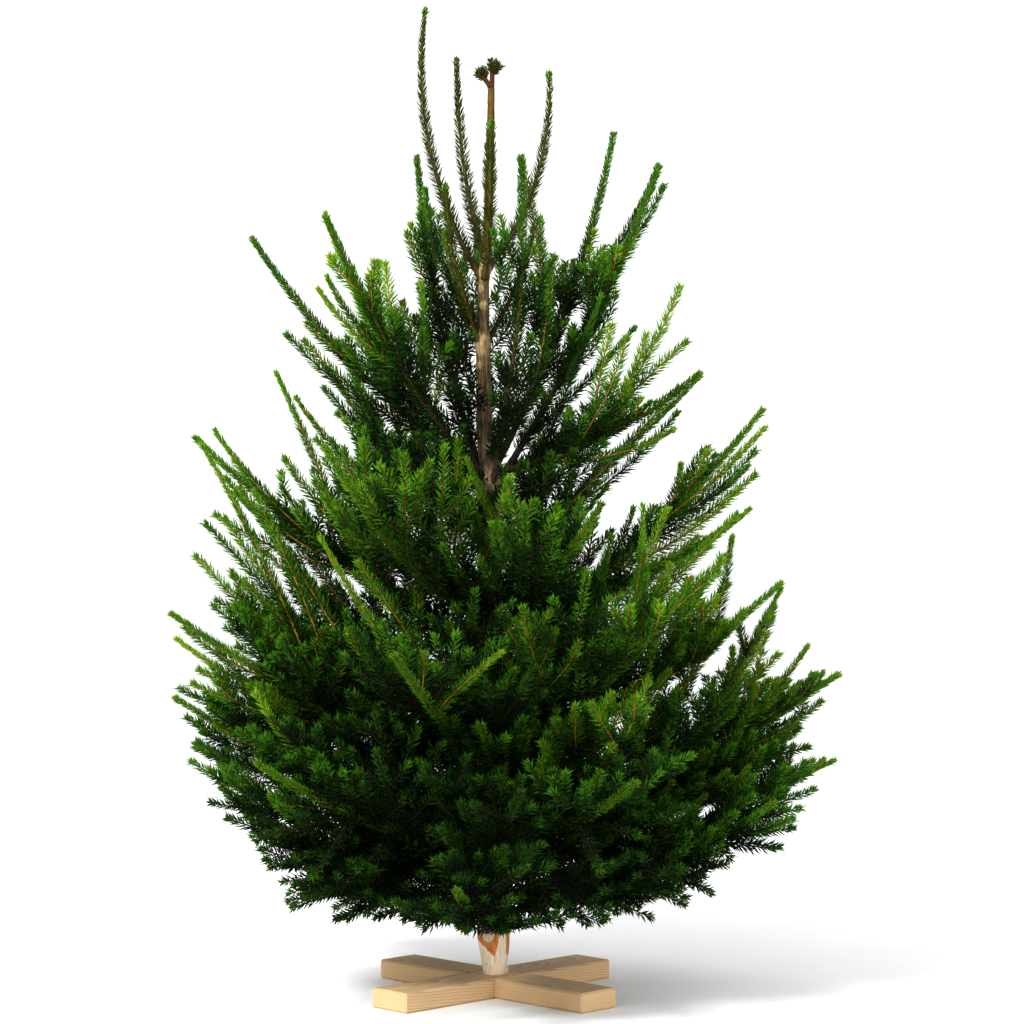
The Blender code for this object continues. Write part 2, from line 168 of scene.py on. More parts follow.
def colour_ramp(tree, amount, stops):
    """Colours by amount, from stops of (place, (red, green, blue))."""
    made = node_in(tree, "ShaderNodeValToRGB", {"Fac": amount})
    ramp = made.color_ramp
    while len(ramp.elements) < len(stops):
        ramp.elements.new(0.5)
    for element, (place, colour) in zip(ramp.elements, stops):
        element.position = place
        element.color = (*colour, 1)
    return made.outputs["Color"]


floor_finish, tree, shader = plain_finish("matt_floor")
mottle = noise_in(tree, place_in(tree), scale=3.0, detail=4.0)
tone = colour_ramp(tree, mottle, ((0.3, (0.86, 0.86, 0.86)), (0.7, (0.9, 0.9, 0.9))))
fill(tree, shader, {"Base Color": tone, "Roughness": 0.9})

floor_mesh = bmesh.new()
bmesh.ops.create_circle(floor_mesh, cap_ends=True, segments=FLOOR_SIDES, radius=FLOOR_RADIUS)
floor = bpy.data.objects.new("floor", bpy.data.meshes.new("floor"))
floor_mesh.to_mesh(floor.data)
floor_mesh.free()
floor.data.materials.append(floor_finish)
bpy.context.scene.collection.objects.link(floor)

world = bpy.data.worlds.new("studio")
world.use_nodes = True
fill(world.node_tree, world.node_tree.nodes["Background"], {
    "Color": (1, 1, 1, 1), "Strength": SKY_STRENGTH,
})
bpy.context.scene.world = world
bpy.context.scene.view_settings.view_transform = "Standard"
bpy.context.scene.view_settings.gamma = GAMMA


def lamp(name, place, aim, size, power):
    """A round soft lamp, size metres across and power watts strong, that isn't seen itself."""
    made = bpy.data.objects.new(name, bpy.data.lights.new(name, "AREA"))
    made.data.shape = "DISK"
    made.data.size = size
    made.data.energy = power
    made.location = place
    made.rotation_mode = "QUATERNION"
    made.rotation_quaternion = (Vector(aim) - Vector(place)).to_track_quat("-Z", "Y")
    made.visible_camera = False
    bpy.context.scene.collection.objects.link(made)


lamp("key", place=(-2.6, -3.0, 3.4), aim=(0, 0, 0.8), size=1.2, power=260)
lamp("fill", place=(3.2, -3.0, 1.8), aim=(0, 0, 0.7), size=2.0, power=45)
print("floor", FLOOR_RADIUS, "m to its edge, two lamps")

# %% [markdown]
# ## The tree's lines
# A spruce is regular: each year its leader adds a whorl of boughs, each bough adds a pair of side
# shoots where the year's growth began, and the side shoots do the same, smaller. So the tree is a
# table of whorls and one rule. Every limb is a circular arc in an upright plane, which is how a
# shoot lifts towards the light. The table and the rule are those that the frame was made by.

# %% Lay out the trunk and the whorls
CUT_HEIGHT = 0.0063
TRUNK = (  # height above the cut, drift to the right, radius
    (0.000, 0.0000, 0.0120),
    (0.012, 0.0000, 0.0152),
    (0.037, 0.0004, 0.0192),
    (0.063, -0.0010, 0.0230),
    (0.085, -0.0020, 0.0250),
    (0.130, -0.0025, 0.0252),
    (0.220, -0.0030, 0.0240),
    (0.350, -0.0040, 0.0220),
    (0.545, -0.0075, 0.0190),
    (0.700, -0.0060, 0.0158),
    (0.780, -0.0070, 0.0152),
    (0.860, -0.0160, 0.0122),
    (1.000, -0.0180, 0.0100),
    (1.080, -0.0170, 0.0085),
    (1.125, -0.0120, 0.0070),
)
Bough = namedtuple("Bough", "side azimuth reach rise bend")
Whorl = namedtuple("Whorl", "name height nodes rolls boughs")
FLAT_ROLLS = (5, 175)  # degrees about the bough, on the right and the left of it
RISING_ROLLS = (20, 160)
LIFTED_ROLLS = (30, 150)
SINKING_ROLLS = (-20, 200)
WHORLS = (
    Whorl("leader", 1.1253, (), (), (
        Bough("", 10, 0.0075, 0.300, 2),
    )),
    Whorl("whorl1", 1.100, (), (), (
        Bough("left", 168, 0.092, 0.400, 40),
        Bough("left_back", 118, 0.1015, 0.335, 30),
        Bough("right", 24, 0.108, 0.306, 45),
        Bough("front", 281, 0.064, 0.215, 32),
    )),
    Whorl("between1", 0.985, (), (), (
        Bough("left_front", 215, 0.0696, 0.2386, 24),
        Bough("right_back", 52, 0.128, 0.190, 26),
    )),
    Whorl("whorl2", 0.775, (0.33, 0.50, 0.67), FLAT_ROLLS, (
        Bough("right", 6, 0.262, 0.484, 12),
        Bough("right_back", 42, 0.2644, 0.5553, 22),
        Bough("back", 94, 0.260, 0.430, 22),
        Bough("left_back", 132, 0.1740, 0.5123, 22),
        Bough("left", 177, 0.364, 0.373, 25),
        Bough("left_front", 221, 0.314, 0.383, 24),
        Bough("front", 293, 0.130, 0.480, 30),
        Bough("right_front", 336, 0.3426, 0.158, 26),
    )),
    Whorl("whorl3", 0.540, (0.28, 0.46, 0.64), FLAT_ROLLS, (
        Bough("right", 4, 0.420, 0.345, 22),
        Bough("right_back", 70, 0.380, 0.360, 18),
        Bough("left_back", 122, 0.390, 0.370, 18),
        Bough("left", 178, 0.452, 0.302, 18),
        Bough("left_front", 232, 0.380, 0.280, 26),
        Bough("right_front", 300, 0.320, 0.200, 26),
    )),
    Whorl("whorl4", 0.350, (0.27, 0.46, 0.65), RISING_ROLLS, (
        Bough("right", 4, 0.446, 0.268, 18),
        Bough("right_back", 66, 0.440, 0.240, 18),
        Bough("left_back", 132, 0.460, 0.270, 18),
        Bough("left", 192, 0.488, 0.226, 18),
        Bough("left_front", 252, 0.420, 0.180, 26),
        Bough("right_front", 316, 0.400, 0.283, 26),
    )),
    Whorl("whorl5", 0.225, (0.30, 0.48, 0.66), LIFTED_ROLLS, (
        Bough("right", 6, 0.537, 0.252, 16),
        Bough("back", 88, 0.460, 0.190, 16),
        Bough("left", 168, 0.508, 0.212, 16),
        Bough("left_front", 226, 0.470, 0.150, 20),
        Bough("right_front", 296, 0.460, 0.130, 24),
    )),
    Whorl("whorl6", 0.128, (0.28, 0.46, 0.64), SINKING_ROLLS, (
        Bough("right", 342, 0.440, 0.170, 24),
        Bough("right_back", 36, 0.450, 0.110, 22),
        Bough("left_back", 120, 0.440, 0.100, 22),
        Bough("left", 196, 0.420, 0.190, 24),
        Bough("front", 264, 0.430, 0.080, 24),
    )),
)
STAGGER = 0.014  # the feet of a whorl's boughs step up and down by this
FOOT_OUT = 0.004  # a bough's line starts this far from the trunk's middle
UP = Vector((0, 0, 1))
WANDER = 0.012  # how far a shoot strays sideways from its arc, as a share of its length
WANDER_TURNS = (1.5, 2.6)  # half waves of it


class Arc:
    """A limb's line: an upright arc that starts at a slope, bends up, and may wander."""

    def __init__(self, start, azimuth, slope, bend, length):
        self.start = Vector(start)
        self.azimuth = azimuth
        self.slope = slope
        self.bend = bend
        self.length = length
        self.stray = 0.0
        self.turns = 0.0

    @classmethod
    def to_tip(cls, start, azimuth, reach, rise, bend):
        """The arc whose tip is so far out and so far up."""
        arc_over_chord = (bend / 2) / math.sin(bend / 2)
        slope = math.atan2(rise, reach) - bend / 2
        return cls(start, azimuth, slope, bend, math.hypot(reach, rise) * arc_over_chord)

    def wander(self, dice):
        """Lets the line stray a little to each side."""
        self.stray = self.length * WANDER * dice.uniform(-1, 1)
        self.turns = dice.uniform(*WANDER_TURNS)

    def at(self, share):
        """The place at a share of the length."""
        turned = self.slope + self.bend * share
        radius = self.length / self.bend
        run = radius * (math.sin(turned) - math.sin(self.slope))
        rise = radius * (math.cos(self.slope) - math.cos(turned))
        sway = self.stray * math.sin(share * self.turns * math.pi) * math.sin(share * math.pi / 2)
        outward = Vector((math.cos(self.azimuth), math.sin(self.azimuth), 0))
        return self.start + outward * run + UP * rise + outward.cross(UP) * sway

    def tangent(self, share):
        """The direction there."""
        turned = self.slope + self.bend * share
        flat = math.cos(turned)
        return Vector(
            (math.cos(self.azimuth) * flat, math.sin(self.azimuth) * flat, math.sin(turned))
        )


def trunk_at(height):
    """The trunk's middle and radius at a height above its cut."""
    for (low, drift_low, thick_low), (high, drift_high, thick_high) in zip(TRUNK, TRUNK[1:]):
        if height <= high:
            share = (height - low) / (high - low)
            drift = drift_low + (drift_high - drift_low) * share
            radius = thick_low + (thick_high - thick_low) * share
            return Vector((drift, 0, CUT_HEIGHT + height)), radius
    return Vector((TRUNK[-1][1], 0, CUT_HEIGHT + height)), TRUNK[-1][2]


def bough_line(whorl, order):
    """The line of a whorl's bough. Neighbours' feet are staggered, and tips stay where they are."""
    bough = whorl.boughs[order]
    lift = STAGGER * (order * 2 % 3 - 1) if len(whorl.boughs) > 2 else 0
    azimuth = math.radians(bough.azimuth)
    outward = Vector((math.cos(azimuth), math.sin(azimuth), 0))
    foot = FOOT_OUT if whorl.name != "leader" else 0
    return Arc.to_tip(
        trunk_at(whorl.height + lift)[0] + outward * foot,
        azimuth,
        bough.reach - foot,
        bough.rise - lift,
        math.radians(bough.bend),
    )


lines = {
    f"{whorl.name}_{bough.side}".strip("_"): (whorl, bough_line(whorl, order))
    for whorl in WHORLS
    for order, bough in enumerate(whorl.boughs)
}
for name, (_, line) in lines.items():
    if name != "leader":
        line.wander(random.Random(name + "_line"))
print(len(lines), "limbs,", round(sum(line.length for _, line in lines.values()), 1), "m of them")

# %% [markdown]
# ## From boughs to twigs
# On the real tree a side shoot leaves its parent at 30 to 50 degrees, bends up towards the light,
# and reaches not quite as far as the parent's own tip. The last year's growth of every shoot is
# unbranched, like a bottle brush. The same rule is used again on each side shoot. Strewing twigs
# at random would be quicker, but no twig would then sit on a limb. A shoot is kept as a list of
# points with its girth, needles and tint, and nothing is meshed yet.

# %% Say how the needles stand on each kind of shoot
Habit = namedtuple("Habit", "reach sweep spacing width")
HABITS = {  # needle length and angle to the shoot at foot and tip (radians), spacing, width factor
    "topmost": Habit((0.0195, 0.0078), (1.00, 0.50), 0.00066, 1.1),
    "leading": Habit((0.0180, 0.0098), (1.04, 0.62), 0.00054, 1.25),
    "slim": Habit((0.0185, 0.0088), (1.02, 0.48), 0.00062, 1.1),
    "wide": Habit((0.0215, 0.0125), (1.12, 0.78), 0.00087, 1.28),
    "side": Habit((0.0205, 0.0125), (1.14, 0.80), 0.00148, 1.56),
    "inner": Habit((0.0235, 0.0160), (1.20, 0.95), 0.00315, 2.25),
}
Shoot = namedtuple("Shoot", "points order length foot tip habit bare tint")
print(len(HABITS), "kinds of shoot:", *HABITS)

# %% [markdown]
# One shoot's line is found from its parent's: it leaves at an angle and at a roll about the parent,
# and its arc ends at a slope that is usual for its whorl. So the low boughs' shoots stay flatter.

# %% Draw the line of one shoot
DIVERGENCE = (26, 46)  # degrees from the parent's line
FINER_DIVERGENCE = (30, 60)
ROLL_SPREAD = 30  # degrees
SIDE_SHARE = (0.50, 1.00)  # of what is left of the parent beyond the node
TIP_SLOPES = {  # degrees that a side shoot's tip rises at
    "whorl2": (60, 84),
    "whorl3": (52, 80),
    "whorl4": (44, 76),
    "whorl5": (32, 66),
    "whorl6": (6, 46),
    "trunk": (30, 70),
}
BENDS = (math.radians(3), math.radians(50))
VIGOUR = {"whorl2": 0.60, "whorl3": 1.02, "whorl4": 1.0, "whorl5": 0.95, "whorl6": 0.85}
POINT_STEP = 0.018


def side_of(line):
    """Level, and square to the upright plane of a limb's line."""
    return Vector((math.sin(line.azimuth), -math.cos(line.azimuth), 0))


def side_arc(parent, node, roll, dice, whorl, finer=False, share=1.0):
    """A shoot that leaves the parent's node at a roll about the parent's line, and bends up."""
    along = parent.tangent(node)
    side = side_of(parent)
    upper = side.cross(along)
    apart = math.radians(dice.uniform(*(FINER_DIVERGENCE if finer else DIVERGENCE)))
    roll = math.radians(roll + dice.uniform(-ROLL_SPREAD, ROLL_SPREAD))
    across = side * math.cos(roll) + upper * math.sin(roll)
    heading = along * math.cos(apart) + across * math.sin(apart)
    slope = math.asin(max(-1, min(1, heading.z)))
    least, most = BENDS
    bend = max(least, min(most, math.radians(dice.uniform(*TIP_SLOPES[whorl])) - slope))
    length = parent.length * (1 - node) * dice.uniform(*SIDE_SHARE) * share
    return Arc(parent.at(node), math.atan2(heading.y, heading.x), slope, bend, length)


def points_of(line):
    """Points along a limb."""
    count = max(3, round(line.length / POINT_STEP))
    return [line.at(step / count) for step in range(count + 1)]


print("a point about every", POINT_STEP, "m of a shoot")

# %% [markdown]
# The crown isn't full all round: between the whorls and between the long shoots of the outline
# there is open sky. Those places are kept as discs in the upright plane through the trunk, seen
# from the front, and a shoot of the rule stops before it would cross one. They were picked by eye,
# and a separate program wrote them in metres.

# %% Keep the open places open
OPEN_PLACES = (  # x, z and radius
    (0.222, 0.766, 0.064), (0.256, 0.827, 0.052), (0.18, 0.708, 0.031), (0.302, 0.868, 0.028),
    (0.161, 0.668, 0.018), (-0.282, 1.075, 0.037), (-0.24, 1.032, 0.031),
    (-0.31, 1.109, 0.021), (-0.148, 1.072, 0.018), (-0.39, 0.845, 0.046),
    (-0.321, 0.85, 0.043), (-0.371, 0.787, 0.024), (-0.285, 0.823, 0.024),
    (-0.252, 0.784, 0.012), (0.131, 1.205, 0.04), (0.186, 1.17, 0.024), (0.1, 1.159, 0.015),
    (-0.139, 1.219, 0.024), (-0.188, 1.19, 0.021), (0.391, 0.604, 0.037),
    (0.357, 0.585, 0.015), (0.016, 0.98, 0.017), (0.017, 1.055, 0.015),
    (0.077, 1.205, 0.012), (-0.426, 0.539, 0.018), (-0.38, 0.497, 0.018),
    (-0.408, 0.215, 0.04), (-0.356, 0.16, 0.024), (-0.325, 0.185, 0.012),
    (0.368, 0.16, 0.037), (0.455, 0.2, 0.031), (0.314, 0.134, 0.015), (0.256, 0.105, 0.018),
    (0.177, 0.103, 0.012), (-0.152, 0.087, 0.031), (-0.061, 0.068, 0.018),
    (0.057, 0.084, 0.018), (0.115, 0.096, 0.012), (0.444, 0.539, 0.021), (-0.142, 1.118, 0.028),
    (-0.148, 1.164, 0.018), (-0.126, 1.06, 0.015), (0.051, 1.17, 0.018),
    (0.077, 1.155, 0.015), (0.123, 1.136, 0.018), (0.128, 1.032, 0.021),
    (-0.252, 0.891, 0.024), (0.25, 0.925, 0.024), (0.339, 0.858, 0.024),
    (-0.209, 1.098, 0.018), (0.327, 0.616, 0.015), (0.449, 0.501, 0.021), (0.49, 0.42, 0.018),
    (-0.39, 0.509, 0.024), (-0.412, 0.539, 0.015), (-0.331, 0.754, 0.018),
    (-0.298, 0.784, 0.015), (-0.013, 1.09, 0.011), (-0.013, 1.063, 0.011),
    (-0.013, 1.035, 0.012), (-0.013, 1.008, 0.012), (-0.013, 0.98, 0.012),
    (-0.013, 0.953, 0.012), (-0.015, 0.925, 0.012), (-0.015, 0.897, 0.012),
    (-0.015, 0.87, 0.012), (-0.016, 0.845, 0.011), (-0.051, 1.066, 0.014),
    (0.069, 1.005, 0.012), (0.089, 0.925, 0.014), (0.069, 0.884, 0.014), (0.039, 0.823, 0.011),
    (-0.07, 0.945, 0.009), (0.121, 0.91, 0.011),
)
CLEAR_STEP = 0.15
CLEAR_SHARES = (1.0, 0.85, 0.7, 0.55, 0.4)  # of a line, where it is tried


def is_open(point):
    """Whether a point is seen in an open place."""
    nearer = CAMERA_BACK / (CAMERA_BACK + point.y)
    across = CAMERA_RIGHT + (point.x - CAMERA_RIGHT) * nearer
    up = CAMERA_HEIGHT + (point.z - CAMERA_HEIGHT) * nearer
    return any(math.hypot(across - x, up - z) < radius for x, z, radius in OPEN_PLACES)


def shortened(line):
    """A line that ends before the first open place on its way."""
    crossed = [share for share in CLEAR_SHARES if is_open(line.at(share))]
    if not crossed:
        return line
    share = min(crossed) - CLEAR_STEP
    return Arc(line.start, line.azimuth, line.slope, line.bend * share, line.length * share)


print(len(OPEN_PLACES), "discs of open sky")

# %% [markdown]
# A side shoot and its finer shoots make one spray, and a spray has one tint, since it sits in one
# place.
# The tint is painted light and shade, with a little of the needles' age: sprays near the trunk and
# low down are the darkest, a painted shade, and those far out, high up and to the right are lighter,
# a painted light.

# %% Grow one spray
Bushiness = namedtuple("Bushiness", "last_year step")
BUSHINESS = {  # the share of a shoot that is unbranched, and the metres between its nodes
    "whorl2": Bushiness(0.44, (0.055, 0.090)),
    "whorl3": Bushiness(0.38, (0.050, 0.080)),
    "whorl4": Bushiness(0.30, (0.042, 0.064)),
    "whorl5": Bushiness(0.28, (0.040, 0.060)),
    "whorl6": Bushiness(0.28, (0.040, 0.060)),
    "trunk": Bushiness(0.30, (0.050, 0.080)),
}
LEAST_LAST_YEAR = 0.045
FIRST_NODE = 0.024
SHORTEST = 0.036
LONGEST_FINER = 0.115
MOST_ORDERS = 2
CROWN_FOOT = 0.088  # no shoot's tip hangs lower, as seen from the front
LOWEST_TIP = 0.0704  # nor lower than this at any depth
TWIG_TIP = 0.0010  # radius
TWIG_FOOT = 0.0011
TWIG_THICKENING = 0.0030  # for each metre of its length
FINER_ROLLS = (5, 175)
NODE_JITTER = 0.012  # metres, so that the two shoots of a node don't stand opposite
# The tints are steps of painted shade and painted light, from deep, the darkest painted shade, to
# bright, the strongest painted light, with a little of the needles' age.
TINTS = ("deep", "dark", "mid", "fresh", "bright")


def finer_nodes(length, dice, whorl):
    """Where a finer shoot branches, as shares of its length, from the outermost in."""
    habit = BUSHINESS[whorl]
    place = length - max(LEAST_LAST_YEAR, length * habit.last_year)
    nodes = []
    while place > FIRST_NODE:
        nodes.append(place / length)
        place -= dice.uniform(*habit.step)
    return nodes


def is_too_low(point):
    """Whether a point would be seen below the crown's foot, or is nearly on the stand."""
    seen = (CAMERA_HEIGHT - point.z) * CAMERA_BACK / (CAMERA_BACK + point.y)
    return seen > CAMERA_HEIGHT - CROWN_FOOT or point.z < LOWEST_TIP


def grow(line, order, dice, whorl, tint, habit, shoots, led=False):
    """Adds a shoot, then its own side shoots by the same rule. A led one crosses open places."""
    if not led:
        line = shortened(line)
    if line.length < SHORTEST or is_too_low(line.at(1)):
        return
    line.wander(dice)
    shoots.append(Shoot(
        points=points_of(line),
        order=order,
        length=line.length,
        foot=TWIG_FOOT + TWIG_THICKENING * line.length,
        tip=TWIG_TIP,
        habit=habit,
        bare=0.0,
        tint=tint,
    ))
    if order < MOST_ORDERS:
        for node in finer_nodes(line.length, dice, whorl):
            for roll in FINER_ROLLS:
                foot = node + dice.uniform(-NODE_JITTER, NODE_JITTER) / line.length
                finer = side_arc(line, foot, roll, dice, whorl, finer=True)
                finer.length = min(finer.length, LONGEST_FINER)
                grow(finer, order + 1, dice, whorl, tint, habit, shoots)


# Painted light and shade: a spray's tint is lighter the further out, the higher and the further right
# it lies.
LIGHT_AT_HEIGHT = ((0.10, 0.20, 0.35, 0.50, 0.70, 1.00), (-2.8, -2.4, -1.9, -1.0, -0.5, -0.2))
LIGHT_OUTWARD = 3.9  # a spray at the crown's skin is this much lighter than one at the trunk
LIGHT_RIGHTWARD = 2.1  # for each metre
LIGHT_SPREAD = 0.7
CROWN_RADIUS = (0.46, 0.45, 0.30)  # low down, up to a height, and how fast it narrows from there
INNER_SHARE = 0.62  # of the crown's radius, for a tip to count as inside
INNER_HEIGHTS = (0.20, 0.70)
SPRAY_MIDDLE = 0.6  # of its line


def shade_of(line, dice):
    """A spray's tint, a painted light or shade, and its habit, from how far out, how high and how far
    right its middle is.
    """
    middle = line.at(SPRAY_MIDDLE)
    widest, full_height, narrowing = CROWN_RADIUS
    skin = widest - narrowing * max(0.0, middle.z - full_height)
    light = (
        LIGHT_OUTWARD * math.hypot(middle.x, middle.y) / skin
        + float(np.interp(middle.z, *LIGHT_AT_HEIGHT))
        + LIGHT_RIGHTWARD * middle.x
        + dice.uniform(-LIGHT_SPREAD, LIGHT_SPREAD)
    )
    level = max(0, min(3, int(light)))
    tip = line.at(1)
    low, high = INNER_HEIGHTS
    inside = math.hypot(tip.x, tip.y) < INNER_SHARE * skin and low < tip.z < high
    return TINTS[level], "inner" if level == 0 and inside else "side"


print(len(TINTS), "tints:", *TINTS)
